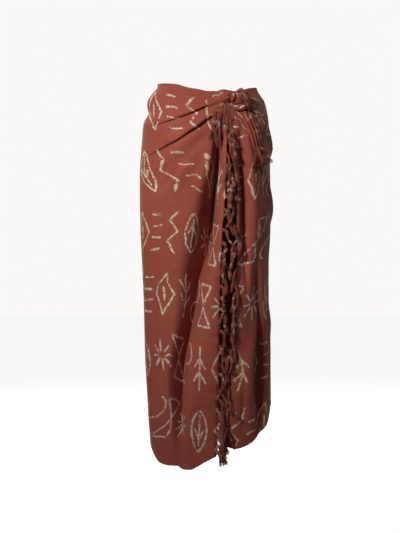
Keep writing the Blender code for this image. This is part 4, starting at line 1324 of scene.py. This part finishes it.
# %% [markdown]
# Gathered cloth shows pleats along the pull. A table gives a knot piece's middle line, width and
# thickness, as in the solids. Each of its pleats is a ridge or a groove at a share of its width,
# from -1 to 1. It grows towards the end that is pulled tight, and where the piece narrows, the
# pleats come together by themselves.

# %% a gathered sheet
Pleat = namedtuple("Pleat", "side drift height start end width")
DEEPEST_DIP = 0.8


def pleat_height(pleats, along, side):
    total = np.zeros(np.broadcast(along, side).shape)
    for pleat in pleats:
        middle = pleat.side + pleat.drift * (along - 0.5)
        swell = pleat.start + (pleat.end - pleat.start) * along
        total = total + pleat.height * swell * np.exp(-(((side - middle) / pleat.width) ** 2))
    return total


def tucked(along, start, end):
    """Brings a sheet down to what it lies on over a share of its length at either end."""
    fall = np.ones_like(along)
    if start:
        fall = fall * np.sqrt(np.clip(1 - (1 - np.clip(along / start, 0, 1)) ** 2, 0, 1))
    if end:
        fall = fall * np.sqrt(np.clip(1 - (1 - np.clip((1 - along) / end, 0, 1)) ** 2, 0, 1))
    return fall


def gathered_piece(name, rows, pleats, along, across, tuck=(0, 0), place=(0, 0), turned=False):
    """A thin crowned sheet with pleats, laid over the pile along its table's middle line."""
    shares = np.linspace(0, 1, len(rows))
    at = np.linspace(0, 1, along + 1)[:, None]
    x, z, width, thickness = (smooth_table(at, shares, column(rows, label)) for label in Gather._fields)
    dx, dz = np.gradient(x, axis=0), np.gradient(z, axis=0)
    length = np.hypot(dx, dz)
    side = np.sin(np.linspace(-np.pi / 2, np.pi / 2, across + 1))[None, :]
    px = x - dz / length * side * width / 2
    pz = z + dx / length * side * width / 2
    laid = [[pile.lay_at(one_x, one_z) for one_x, one_z in zip(*line)] for line in zip(px, pz)]
    lie = evened(np.array(laid))
    dome = thickness * np.sqrt(1 - side**2)
    ridges = pleat_height(pleats, at, side) * np.sqrt(1 - side**2) ** 0.5
    crown = LAY_CLEAR + (dome + np.maximum(ridges, -DEEPEST_DIP * dome)) * tucked(at, *tuck)
    points = np.stack([px, lie - crown, pz], axis=-1)
    down, over = measured(points, 0), measured(points, 1)
    first, second = (over, down) if turned else (down, over)
    metres = np.stack([first + place[0], second + place[1]], axis=-1)
    piece = sheet_piece(name, points, metres)
    cut = (float(down[-1].mean()), float(over[:, -1].mean()))
    pile.add(piece)
    return piece, points, cut


def declare(piece, node_name, cut):
    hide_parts(node_name)
    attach(piece, "root")
    print(piece.name, "is", [round(1000 * side) for side in cut], "mm of cloth")


print("a groove takes at most", DEEPEST_DIP, "of a gathered sheet's height")

# %% [markdown]
# The gathered cloth behind the knot comes first. It joins the two top corners, and the other
# pieces hide most of it.

# %% the cloth behind the knot
KNOT_BACK = (
    Gather(0.040, -0.048, 0.022, 0.004),
    Gather(0.056, -0.050, 0.028, 0.006),
    Gather(0.072, -0.050, 0.032, 0.008),
    Gather(0.088, -0.047, 0.032, 0.008),
    Gather(0.104, -0.044, 0.024, 0.004),
)
BACK_PLEATS = (
    Pleat(-0.35, 0.1, 0.0016, 0.6, 1.0, 0.14),
    Pleat(0.30, -0.1, 0.0018, 0.6, 1.0, 0.16),
)
under, _, cut = gathered_piece(
    "knot_under", KNOT_BACK, BACK_PLEATS, along=40, across=24, place=(0.31, 0.24)
)
declare(under, "knot_back", cut)

# %% [markdown]
# The flap is the tie end that lies on the front, to the left of the knot. It is flat at its free
# end and bunched where it goes into the knot.

# %% the flap
TIE_FLAP = (
    Gather(0.005, -0.076, 0.034, 0.002),
    Gather(0.021, -0.066, 0.037, 0.003),
    Gather(0.036, -0.053, 0.040, 0.005),
    Gather(0.050, -0.046, 0.036, 0.008),
    Gather(0.062, -0.045, 0.029, 0.010),
    Gather(0.074, -0.051, 0.022, 0.009),
)
FLAP_PLEATS = (
    Pleat(-0.62, 0.30, 0.0014, 0.05, 1.0, 0.16),
    Pleat(-0.28, 0.16, -0.0020, 0.00, 1.0, 0.09),
    Pleat(0.02, -0.08, 0.0016, 0.05, 1.0, 0.16),
    Pleat(0.33, -0.22, -0.0022, 0.00, 1.0, 0.08),
    Pleat(0.62, -0.30, 0.0015, 0.05, 1.0, 0.15),
)
flap, flap_points, cut = gathered_piece(
    "tie_flap_cloth", TIE_FLAP, FLAP_PLEATS, along=84, across=48, place=(0.12, 0.20)
)
declare(flap, "tie_flap", cut)

# %% [markdown]
# The tail is the other tie end. It falls from the knot to the right in deep pleats and stays
# narrow to its tip.

# %% the tail
TIE_TAIL = (
    Gather(0.103, -0.078, 0.020, 0.007),
    Gather(0.109, -0.094, 0.026, 0.010),
    Gather(0.118, -0.112, 0.033, 0.010),
    Gather(0.128, -0.134, 0.034, 0.009),
    Gather(0.135, -0.158, 0.030, 0.008),
    Gather(0.139, -0.184, 0.024, 0.005),
)
TAIL_PLEATS = (
    Pleat(-0.72, 0.10, 0.0022, 0.8, 1.0, 0.13),
    Pleat(-0.42, 0.12, -0.0036, 0.9, 1.0, 0.11),
    Pleat(-0.14, 0.05, 0.0028, 0.9, 0.9, 0.12),
    Pleat(0.16, -0.06, -0.0038, 0.8, 1.0, 0.11),
    Pleat(0.46, -0.10, 0.0026, 0.9, 0.8, 0.13),
    Pleat(0.74, -0.04, -0.0024, 0.7, 1.0, 0.10),
)
tail, tail_points, cut = gathered_piece(
    "tie_tail_cloth", TIE_TAIL, TAIL_PLEATS, along=84, across=56, place=(0.03, 0.35)
)
declare(tail, "tie_tail", cut)

# %% [markdown]
# The band is the wrap of the knot itself, and lies over the flap and the tail. It is tucked in at
# both ends, so that it looks as if it comes from behind and goes back again.

# %% the band
KNOT_BAND = (
    Gather(0.070, -0.072, 0.026, 0.006),
    Gather(0.078, -0.069, 0.036, 0.012),
    Gather(0.091, -0.066, 0.042, 0.017),
    Gather(0.104, -0.067, 0.038, 0.016),
    Gather(0.114, -0.070, 0.028, 0.011),
    Gather(0.120, -0.073, 0.018, 0.006),
)
BAND_PLEATS = (
    Pleat(-0.66, 0.16, -0.0030, 1.0, 0.9, 0.09),
    Pleat(-0.40, 0.06, 0.0012, 0.8, 1.0, 0.08),
    Pleat(-0.20, -0.12, -0.0042, 0.9, 1.0, 0.08),
    Pleat(0.02, 0.02, 0.0010, 1.0, 0.6, 0.06),
    Pleat(0.16, 0.14, -0.0034, 1.0, 0.8, 0.06),
    Pleat(0.48, -0.10, -0.0044, 0.8, 1.0, 0.08),
    Pleat(0.74, -0.04, -0.0024, 0.7, 1.0, 0.06),
)
BAND_TUCK = (0.22, 0.22)
band, _, cut = gathered_piece(
    "knot_band_cloth", KNOT_BAND, BAND_PLEATS, 64, 60, tuck=BAND_TUCK, place=(0.44, 0.37), turned=True
)
declare(band, "knot_band", cut)

# %% [markdown]
# The fringe needs yarn that follows a path. The path is drawn at even steps, and two directions
# square to it are carried along, so that whatever winds round it doesn't twist by itself.

# %% following a path
def evenly(path, count):
    """Points at even steps on a smooth curve through the path, with their tangents."""
    path = np.asarray(path, float)
    way = np.concatenate([[0], np.cumsum(np.linalg.norm(np.diff(path, axis=0), axis=1))])
    at = np.linspace(0, way[-1], count)
    slopes = np.gradient(path, way, axis=0)
    i = np.clip(np.searchsorted(way, at, side="right") - 1, 0, len(way) - 2)
    step = (way[i + 1] - way[i])[:, None]
    t = ((at - way[i]) / (way[i + 1] - way[i]))[:, None]
    from_here = (1 + 2 * t) * (1 - t) ** 2 * path[i] + t * (1 - t) ** 2 * step * slopes[i]
    to_next = t**2 * (3 - 2 * t) * path[i + 1] - t**2 * (1 - t) * step * slopes[i + 1]
    points = from_here + to_next
    tangents = np.gradient(points, axis=0)
    return points, tangents / np.linalg.norm(tangents, axis=1, keepdims=True), at


def frames_along(tangents, across):
    """Two directions square to a path, carried along it without twisting."""
    first = np.zeros_like(tangents)
    start = np.asarray(across, float)
    for i, tangent in enumerate(tangents):
        start = start - tangent * (start @ tangent)
        start = start / np.linalg.norm(start)
        first[i] = start
    return first, np.cross(tangents, first)


def around(frames, angle):
    """The direction at an angle round a path, at each of its points."""
    return frames[0] * np.cos(angle)[:, None] + frames[1] * np.sin(angle)[:, None]


quarter = around(frames_along(np.array([[0.0, 0, 1]]), (1, 0, 0)), np.array([np.pi / 2]))[0]
print("a quarter turn round an upright path looks along", [round(float(value)) for value in quarter])

# %% [markdown]
# At the end of the weaving, the warp's threads are gathered in bunches, and each bunch is twisted
# softly from two plies. A curve with a bevel would make a smooth cord, so every strand is swept
# here on its own line: it starts at its own place on the cloth's edge, winds with its ply, and
# comes loose again at the tip.

# %% one soft tassel
PLY_ORBIT = 0.0018
STRAND_ORBIT = 0.0018
STRAND = 0.00130
STRANDS_IN_PLY = 5
STRAND_SIDES = 5
STRAND_RINGS = 42
TASSEL_TWIST = 0.056
PLY_TWIST = 0.042
GATHER_WIDTH = 0.011
GATHER_LENGTH = 0.013
LOOSE_TIP = 0.34
PITCH_RANGE = (0.8, 1.3)
STRAND_DRIFT = 0.0010
DRIFT_WAVES = (120, 260)
PLY_OPENS = 0.8
STRAND_OPENS = (0.3, 2.2)
ROOT_JITTER = 0.04
STRAND_CUT = (0.90, 1.0)
LUMP = 0.10
LUMP_WAVES = (250, 480)
TAPER = 0.30
THIN_TIP = 0.55
THREAD_SPREAD = 0.002
TASSEL_RADIUS = PLY_ORBIT + STRAND_ORBIT + STRAND


class Yarn:
    """Collects the strands of many tassels for one mesh."""

    def __init__(self, seed):
        self.points, self.faces, self.cloth, self.yarn = [], [], [], []
        self.chance = np.random.default_rng(seed)
        self.tassels = 0

    def strand(self, centres, radii, frames, place):
        """One closed tube round the centres. place says where its thread lay in the cloth."""
        rings, sides = len(centres), STRAND_SIDES
        start = rings * sides * len(self.points)
        angle = np.linspace(0, 2 * np.pi, sides, endpoint=False)
        a = np.cos(angle)[None, :, None] * frames[0][:, None, :]
        b = np.sin(angle)[None, :, None] * frames[1][:, None, :]
        self.points.append((centres[:, None, :] + (a + b) * radii[:, None, None]).reshape(-1, 3))
        way = np.concatenate([[0], np.cumsum(np.linalg.norm(np.diff(centres, axis=0), axis=1))])
        turn = np.broadcast_to(angle / (2 * np.pi), (rings, sides))
        way = np.broadcast_to(way[:, None], turn.shape)
        self.yarn.append(np.stack([turn, way], axis=-1).reshape(-1, 2))
        down = place[1] + THREAD_SPREAD * np.sin(2 * np.pi * turn)
        self.cloth.append(np.stack([place[0] - place[2] * way, down], axis=-1).reshape(-1, 2))
        for i in range(rings - 1):
            for k in range(sides):
                a0, a1 = start + i * sides + k, start + i * sides + (k + 1) % sides
                self.faces.append((a0, a1, a1 + sides, a0 + sides))
        last = start + (rings - 1) * sides
        self.faces.append(tuple(start + k for k in reversed(range(sides))))
        self.faces.append(tuple(last + k for k in range(sides)))

    def tassel(self, path, root_at, across, thick=1.0):
        """Two plies of strands along a path. root_at gives a strand's root and its place."""
        centres, tangents, way = evenly(path, STRAND_RINGS)
        frames = frames_along(tangents, across)
        share = way / way[-1]
        first_turn = self.chance.uniform(0, 2 * np.pi)
        hand = self.chance.choice([-1.0, 1.0])
        pitch = self.chance.uniform(*PITCH_RANGE)
        gather = np.clip(way / GATHER_LENGTH, 0, 1)
        gather = (gather * gather * (3 - 2 * gather))[:, None]
        for number in range(2 * STRANDS_IN_PLY):
            ply, seat = divmod(number, STRANDS_IN_PLY)
            ply_turn = first_turn + ply * np.pi + hand * 2 * np.pi * way / (TASSEL_TWIST * pitch)
            seat_turn = seat * 2 * np.pi / STRANDS_IN_PLY + hand * 2 * np.pi * way / (PLY_TWIST * pitch)
            loose = np.clip((share - 1 + LOOSE_TIP) / LOOSE_TIP, 0, 1) ** 2
            drift_wave = way * self.chance.uniform(*DRIFT_WAVES) + self.chance.uniform(0, 6)
            ply_out = around(frames, ply_turn) * (PLY_ORBIT * thick * (1 + PLY_OPENS * loose))[:, None]
            opened = 1 + self.chance.uniform(*STRAND_OPENS) * loose
            seat_reach = STRAND_ORBIT * thick * opened + STRAND_DRIFT * np.sin(drift_wave)
            wound = centres + ply_out + around(frames, seat_turn) * seat_reach[:, None]
            aside = (number + 0.5) / (2 * STRANDS_IN_PLY) - 0.5
            root, place = root_at(aside + self.chance.uniform(-ROOT_JITTER, ROOT_JITTER))
            line = (centres - centres[0] + root) * (1 - gather) + wound * gather
            kept = np.linspace(0, self.chance.uniform(*STRAND_CUT), STRAND_RINGS)
            line = np.stack([np.interp(kept, share, line[:, k]) for k in range(3)], axis=-1)
            lumps = 1 + LUMP * np.sin(way * self.chance.uniform(*LUMP_WAVES) + seat)
            radii = STRAND * thick * lumps * (0.55 + 0.45 * gather[:, 0])
            radii = radii * (1 - TAPER * share) * (1 - THIN_TIP * loose)
            self.strand(line, radii, frames, place)
        self.tassels += 1

    def piece(self, name, node_name):
        points = np.concatenate(self.points)
        maps = {CLOTH_MAP: np.concatenate(self.cloth), YARN_MAP: np.concatenate(self.yarn)}
        made = mesh_piece(name, points, self.faces, maps, FRINGE_YARN)
        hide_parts(node_name)
        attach(made, "root")
        print(name, self.tassels, "tassels,", sum(len(face) - 2 for face in self.faces), "triangles")
        return made


print("tassels are", round(2000 * TASSEL_RADIUS, 1), "mm thick")

# %% [markdown]
# A hanging tassel is stiff at its root and heavy at its tip. Its path is worked out by heading:
# it leaves the edge sideways or a little upwards, turns down within two centimetres, and wavers
# or curls. It then comes forward until it clears the cloth. Over earlier tassels it comes forward
# less than it would have to, since such soft bunches press into each other.

# %% the way a tassel hangs
PATH_STEPS = 26
SOFTNESS = 0.6
LENGTH_RANGE = (0.82, 1.12)
SWING_RANGE = (8, 26)
WAVE_RANGE = (0.7, 1.6)
FORWARD_SLACK = 0.002
FORWARD_LENGTH = 0.006
FORWARD_PASSES = 6
Hang = namedtuple("Hang", "length lean spread rise bend curl")


def hanging_path(chance, root, off, hang, radius):
    """A path from the root: off is the level direction away from the cloth's edge."""
    s = np.linspace(0, 1, PATH_STEPS)
    length = hang.length * chance.uniform(*LENGTH_RANGE)
    start = 90 + chance.uniform(*hang.rise)
    lean = hang.lean + chance.uniform(-hang.spread, hang.spread)
    swing = chance.uniform(*SWING_RANGE)
    waves = chance.uniform(*WAVE_RANGE)
    swing = swing * np.sin(2 * np.pi * waves * s + chance.uniform(0, 6))
    curl = chance.uniform(-hang.curl, hang.curl) * s**4
    heading = -90 + lean + (start - lean) * np.exp(-s * length / hang.bend) + swing * s**0.6 + curl
    heading = np.radians((heading[:-1] + heading[1:]) / 2)
    step = length / (PATH_STEPS - 1)
    out = np.concatenate([[0], np.cumsum(step * np.cos(heading))])
    rise = np.concatenate([[0], np.cumsum(step * np.sin(heading))])
    path = root + off * out[:, None]
    path[:, 2] = root[2] + rise
    forward = radius + chance.uniform(0, FORWARD_SLACK)
    path[:, 1] = root[1] - forward * (1 - np.exp(-s * length / FORWARD_LENGTH))
    return path


def brought_forward(path, laid, radius, pull):
    """Clears the cloth by the radius, and earlier tassels by less, as they are soft."""
    for point in path[1:]:
        y = pile.front_at(point[0], point[2])
        if y is not None:
            point[1] = min(point[1], y - radius)
        for tree in laid:
            hit = front_hit(tree, point[0], point[2])
            if hit is not None and hit.y < point[1] + radius:
                point[1] = min(point[1], max(hit.y - (1 - SOFTNESS) * radius, point[1] - pull))
    for _ in range(FORWARD_PASSES):
        smooth = (path[:-2, 1] + path[2:, 1]) / 2
        path[1:-1, 1] = np.minimum(path[1:-1, 1], 0.5 * (path[1:-1, 1] + smooth))
    return path


def tube_tree(path, radius):
    """A coarse box tube round a path, for laying the next tassel on it."""
    corners = ((radius, 0, 0), (0, -radius, 0), (-radius, 0, 0), (0, radius, 0))
    points = [tuple(point + np.array(corner)) for point in path for corner in corners]
    faces = [
        (4 * i + k, 4 * i + (k + 1) % 4, 4 * i + 4 + (k + 1) % 4, 4 * i + 4 + k)
        for i in range(len(path) - 1)
        for k in range(4)
    ]
    return BVHTree.FromPolygons(points, faces)


print("a path has", PATH_STEPS, "points")

# %% [markdown]
# The two fringed ends hang beside the slit. The tassels of both lean over it a little, those of
# the left one more, and a close bunch ends the left one at its lower corner. They are laid from
# the lowest up, each over the few that lie just below it, so they overlap like shingles.

# %% the two fringed ends
EndFringe = namedtuple("EndFringe", "top bottom tassels seed hang")
LEFT_FRINGE = EndFringe(-0.168, -0.945, 21, 11, Hang(0.082, 6, 16, (-30, 55), 0.008, 60))
RIGHT_FRINGE = EndFringe(-0.118, -0.930, 24, 23, Hang(0.084, -4, 20, (-30, 45), 0.009, 70))
CORNER_BUNCH = EndFringe(-0.900, -1.008, 16, 71, Hang(0.080, 10, 13, (-55, 35), 0.009, 30))
LOWEST_TIP = -1.058
LONGEST_SHARE = 1.08
THICK_RANGE = (0.78, 1.08)
HEIGHT_WANDER = 0.35
SLIT_NEIGHBOURS = 7
SLIT_PULL = 0.010
UPRIGHT = np.array([0, 0, 1.0])


class Edge:
    """A fringed end: its points from bottom to top, the row beside it and its place."""

    def __init__(self, line, beside, place, way):
        self.line, self.beside, self.place, self.way = line[::-1], beside[::-1], place[::-1], way

    def on(self, points, z):
        return np.array([np.interp(z, self.line[:, 2], points[:, k]) for k in range(points.shape[1])])

    def off(self, z):
        away = self.on(self.line, z) - self.on(self.beside, z)
        away[2] = 0
        return away / np.linalg.norm(away)

    def root(self, z):
        """Where a strand starts round that height, with its place in the cloth."""

        def root_at(aside):
            at = z + aside * GATHER_WIDTH
            return self.on(self.line, at), (*self.on(self.place, at), self.way)

        return root_at


def end_tassels(edge, fringe):
    """One entry for each tassel of a fringed end: its height, edge and hang."""
    chance = np.random.default_rng(fringe.seed)
    heights = np.linspace(fringe.bottom, fringe.top, fringe.tassels)
    wander = HEIGHT_WANDER * (fringe.top - fringe.bottom) / fringe.tassels
    return [(z + chance.uniform(-wander, wander), edge, fringe) for z in heights]


left_end = Edge(wrap_points[:, 0], wrap_points[:, 2], wrap_place[:, 0], 1.0)
right_end = Edge(wrap_points[:, -1], wrap_points[:, -3], wrap_place[:, -1], -1.0)
left_yarn, right_yarn = Yarn(LEFT_FRINGE.seed), Yarn(RIGHT_FRINGE.seed)
yarns = {LEFT_FRINGE: left_yarn, CORNER_BUNCH: left_yarn, RIGHT_FRINGE: right_yarn}
slit_tassels = end_tassels(left_end, LEFT_FRINGE) + end_tassels(left_end, CORNER_BUNCH)
slit_tassels = slit_tassels + end_tassels(right_end, RIGHT_FRINGE)
laid = []
for z, edge, fringe in sorted(slit_tassels, key=lambda entry: entry[0]):
    yarn = yarns[fringe]
    thick = yarn.chance.uniform(*THICK_RANGE)
    radius = TASSEL_RADIUS * thick
    hang = fringe.hang._replace(length=min(fringe.hang.length, (z - LOWEST_TIP) / LONGEST_SHARE))
    path = hanging_path(yarn.chance, edge.on(edge.line, z), edge.off(z), hang, radius)
    path = brought_forward(path, laid[-SLIT_NEIGHBOURS:], radius, SLIT_PULL)
    laid.append(tube_tree(path, radius))
    yarn.tassel(path, edge.root(z), UPRIGHT, thick)
left_yarn.piece("left_tassels", "left_fringe")
right_yarn.piece("right_tassels", "right_fringe")

# %% [markdown]
# The corners of the cloth that stick out of the knot carry fringe too. Their tassels are the same,
# but they start from the rim of the flap and of the tail, and hang straight down over the cloth.

# %% fringe of the flap and the tail
LaidFringe = namedtuple("LaidFringe", "tassels seed thick hang")
LAID_NEIGHBOURS = 5
LAID_PULL = 0.004
LAID_THICK = (0.85, 1.15)
RIM_MARGIN = 0.04
FLAP_RIM_POINTS = 60
SIDEWAYS = np.array([1.0, 0, 0])
FLAP_FRINGE = LaidFringe(12, 31, 0.72, Hang(0.092, 0, 9, (-90, -50), 0.010, 25))
TAIL_FRINGE = LaidFringe(10, 47, 0.68, Hang(0.064, 4, 24, (-80, -30), 0.010, 130))


def laid_fringe(name, rim, fringe, node_name, place):
    yarn = Yarn(fringe.seed)
    way = np.concatenate([[0], np.cumsum(np.linalg.norm(np.diff(rim, axis=0), axis=1))])

    def on_rim(at):
        return np.array([np.interp(at, way, rim[:, k]) for k in range(3)])

    laid = []
    places = np.linspace(RIM_MARGIN, 1 - RIM_MARGIN, fringe.tassels) * way[-1]
    for at in yarn.chance.permutation(places):
        thick = fringe.thick * yarn.chance.uniform(*LAID_THICK)
        radius = TASSEL_RADIUS * thick

        def root_at(aside, at=at):
            along = np.clip(at + aside * way[-1] / fringe.tassels, 0, way[-1])
            return on_rim(along), (place[0] + along, place[1], 1.0)

        path = hanging_path(yarn.chance, on_rim(at), SIDEWAYS, fringe.hang, radius)
        path = brought_forward(path, laid[-LAID_NEIGHBOURS:], radius, LAID_PULL)
        laid.append(tube_tree(path, radius))
        yarn.tassel(path, root_at, SIDEWAYS, thick)
    return yarn.piece(name, node_name)


flap_rim = flap_points[:FLAP_RIM_POINTS, 0]
flap_fringe = laid_fringe("flap_tassels", flap_rim, FLAP_FRINGE, "flap_fringe", (0.02, 0.30))
tail_fringe = laid_fringe("tail_tassels", tail_points[-1], TAIL_FRINGE, "tail_fringe", (0.40, 0.30))
pile.add(flap_fringe)
pile.add(tail_fringe)

# %% [markdown]
# Over the knot lies the fringe of the corner that was pulled through last. Its bunches cling
# together in one thick twisted tuft that runs down over the band.

# %% the tuft over the knot
Tuft = namedtuple("Tuft", "x z")
TUFT_LINE = (
    Tuft(0.088, -0.027),
    Tuft(0.096, -0.031),
    Tuft(0.106, -0.041),
    Tuft(0.115, -0.054),
    Tuft(0.123, -0.067),
    Tuft(0.129, -0.080),
)
Bunch = namedtuple("Bunch", "aside below thick reach")
TUFT_BUNCHES = (
    Bunch(0.0000, 0.0000, 0.85, 1.00),
    Bunch(0.0036, 0.0034, 0.66, 0.92),
    Bunch(-0.0040, -0.0036, 0.66, 0.86),
)
TUFT_SEED = 59
TUFT_POINTS = 20
TUFT_CLING = 0.6
TUFT_SWAY = 0.0014
TUFT_REACH = 0.003
TUFT_SINK = 0.8
TUFT_PASSES = 8
TUFT_ACROSS = np.array([0.6, 0, 0.8])
TUFT_SPREAD = 0.008


def tuft_piece():
    yarn = Yarn(TUFT_SEED)
    line = np.array([[row.x, 0.0, row.z] for row in TUFT_LINE])
    for bunch in TUFT_BUNCHES:
        radius = TASSEL_RADIUS * bunch.thick
        path = evenly(line, TUFT_POINTS)[0]
        path = path[: int(TUFT_POINTS * bunch.reach)]
        share = np.linspace(0, 1, len(path))
        near = 1 - TUFT_CLING * share
        path[:, 0] += bunch.aside * near + TUFT_SWAY * np.sin(9 * share + 300 * bunch.aside)
        path[:, 2] += bunch.below * near
        for point in path:
            point[1] = pile.lay_at(point[0], point[2], TUFT_REACH) - radius * TUFT_SINK
        path[:, 1] = evened(path[:, 1][:, None], TUFT_PASSES)[:, 0]

        def root_at(aside, path=path, bunch=bunch):
            root = path[0] + TUFT_ACROSS * aside * TUFT_SPREAD
            return root, (0.35 + 10 * bunch.aside, 0.21 + 0.01 * aside, 1.0)

        yarn.tassel(path, root_at, TUFT_ACROSS, bunch.thick)
    return yarn.piece("knot_tuft_yarn", "knot_tuft")


tuft_piece()

# %% [markdown]
# The floor is a plain pale disc below the hem, under a pale sky. Both look brighter to the camera
# than they are as light, so that the ground stays near white while the folds keep their shadows.

# %% floor and sky
FLOOR_Z = -1.16
FLOOR_RADIUS = 14.0
FLOOR_SIDES = 96
FLOOR_GREY = (0.56, 0.56, 0.56, 1.0)
FLOOR_PALE = (0.60, 0.60, 0.60, 1.0)
FLOOR_ROUGHNESS = 0.9
FLOOR_GLOW = 0.90
SKY_COLOUR = (1.0, 0.99, 0.98, 1.0)
SKY_LIGHT = 0.035
SKY_SEEN = 0.95


def floor_piece():
    disc = {"vertices": FLOOR_SIDES, "radius": FLOOR_RADIUS, "fill_type": "NGON"}
    bpy.ops.mesh.primitive_circle_add(location=(0, 0, FLOOR_Z), **disc)
    floor = bpy.context.object
    floor.name = "floor"
    material = bpy.data.materials.new("pale floor")
    material.use_nodes = True
    tree = material.node_tree
    shader = tree.nodes["Principled BSDF"]
    speckle = node(tree, "TexNoise", {"Scale": 6.0, "Detail": 3.0}).outputs[0]
    put(tree, mixed(tree, speckle, FLOOR_GREY, FLOOR_PALE), shader.inputs["Base Color"])
    shader.inputs["Roughness"].default_value = FLOOR_ROUGHNESS
    shader.inputs["Emission Color"].default_value = (1.0, 1.0, 1.0, 1.0)
    seen = node(tree, "LightPath").outputs["Is Camera Ray"]
    put(tree, maths(tree, "MULTIPLY", seen, FLOOR_GLOW), shader.inputs["Emission Strength"])
    floor.data.materials.append(material)


def sky():
    world = bpy.data.worlds.new("studio")
    bpy.context.scene.world = world
    world.use_nodes = True
    tree = world.node_tree
    seen = node(tree, "LightPath").outputs["Is Camera Ray"]
    background = tree.nodes["Background"]
    background.inputs["Color"].default_value = SKY_COLOUR
    put(tree, between(tree, seen, 0.0, 1.0, SKY_LIGHT, SKY_SEEN), background.inputs["Strength"])


floor_piece()
sky()
print("the floor is at", FLOOR_Z, "and the lowest cloth at", round(float(wrap_points[..., 2].min()), 3))

# %% [markdown]
# The main light is a round lamp at the viewer's left. It is a spot with a soft rim, so its light
# fades towards the hem, and it shines along the front, so the folds cast shade. A weak lamp fills
# from the front, and two stand behind and at the side.

# %% lamps
Lamp = namedtuple("Lamp", "name x y z size power")
KEY = Lamp("key", -0.98, -1.65, 0.75, 0.5, 148.0)
KEY_CONE = math.radians(46)
KEY_AIM_Z = -0.38
LAMP_AIM_Z = -0.5
LAMPS = (
    Lamp("fill", 0.4, -3.2, 0.6, 1.4, 1.5),
    Lamp("behind", -1.7, 2.0, 1.0, 0.8, 30.0),
    Lamp("side", 2.2, 1.5, 0.6, 1.0, 15.0),
)


def aimed(row, data, aim_z):
    data.energy = row.power
    made = bpy.data.objects.new(row.name, data)
    made.location = (row.x, row.y, row.z)
    aim = Vector((0, 0, aim_z)) - made.location
    made.rotation_euler = aim.to_track_quat("-Z", "Y").to_euler()
    bpy.context.scene.collection.objects.link(made)


def lamp(row):
    data = bpy.data.lights.new(row.name, "AREA")
    data.size = row.size
    aimed(row, data, LAMP_AIM_Z)


def spot(row):
    """A round lamp whose light fades from its aim towards the rim of its cone."""
    data = bpy.data.lights.new(row.name, "SPOT")
    data.shadow_soft_size = row.size / 2
    data.spot_size = KEY_CONE
    data.spot_blend = 1.0
    aimed(row, data, KEY_AIM_Z)


spot(KEY)
for row in LAMPS:
    lamp(row)
bpy.context.scene.view_settings.view_transform = "Standard"
print([row.name for row in (KEY, *LAMPS)], "lamps")

# %% [markdown]
# The camera looks straight at the front from 3.6 metres, about level with the middle of the wrap,
# through a long lens that fills the frame as in the photograph.

# %% camera
CAMERA_AT = (-0.0167, -3.6, -0.507)
CAMERA_LENS = 87.5

camera = bpy.data.objects.new("camera", bpy.data.cameras.new("camera"))
camera.location = CAMERA_AT
camera.rotation_euler = (math.pi / 2, 0, 0)
camera.data.lens = CAMERA_LENS
bpy.context.scene.collection.objects.link(camera)
bpy.context.scene.camera = camera
print("camera at", CAMERA_AT, "with a lens of", CAMERA_LENS, "mm")
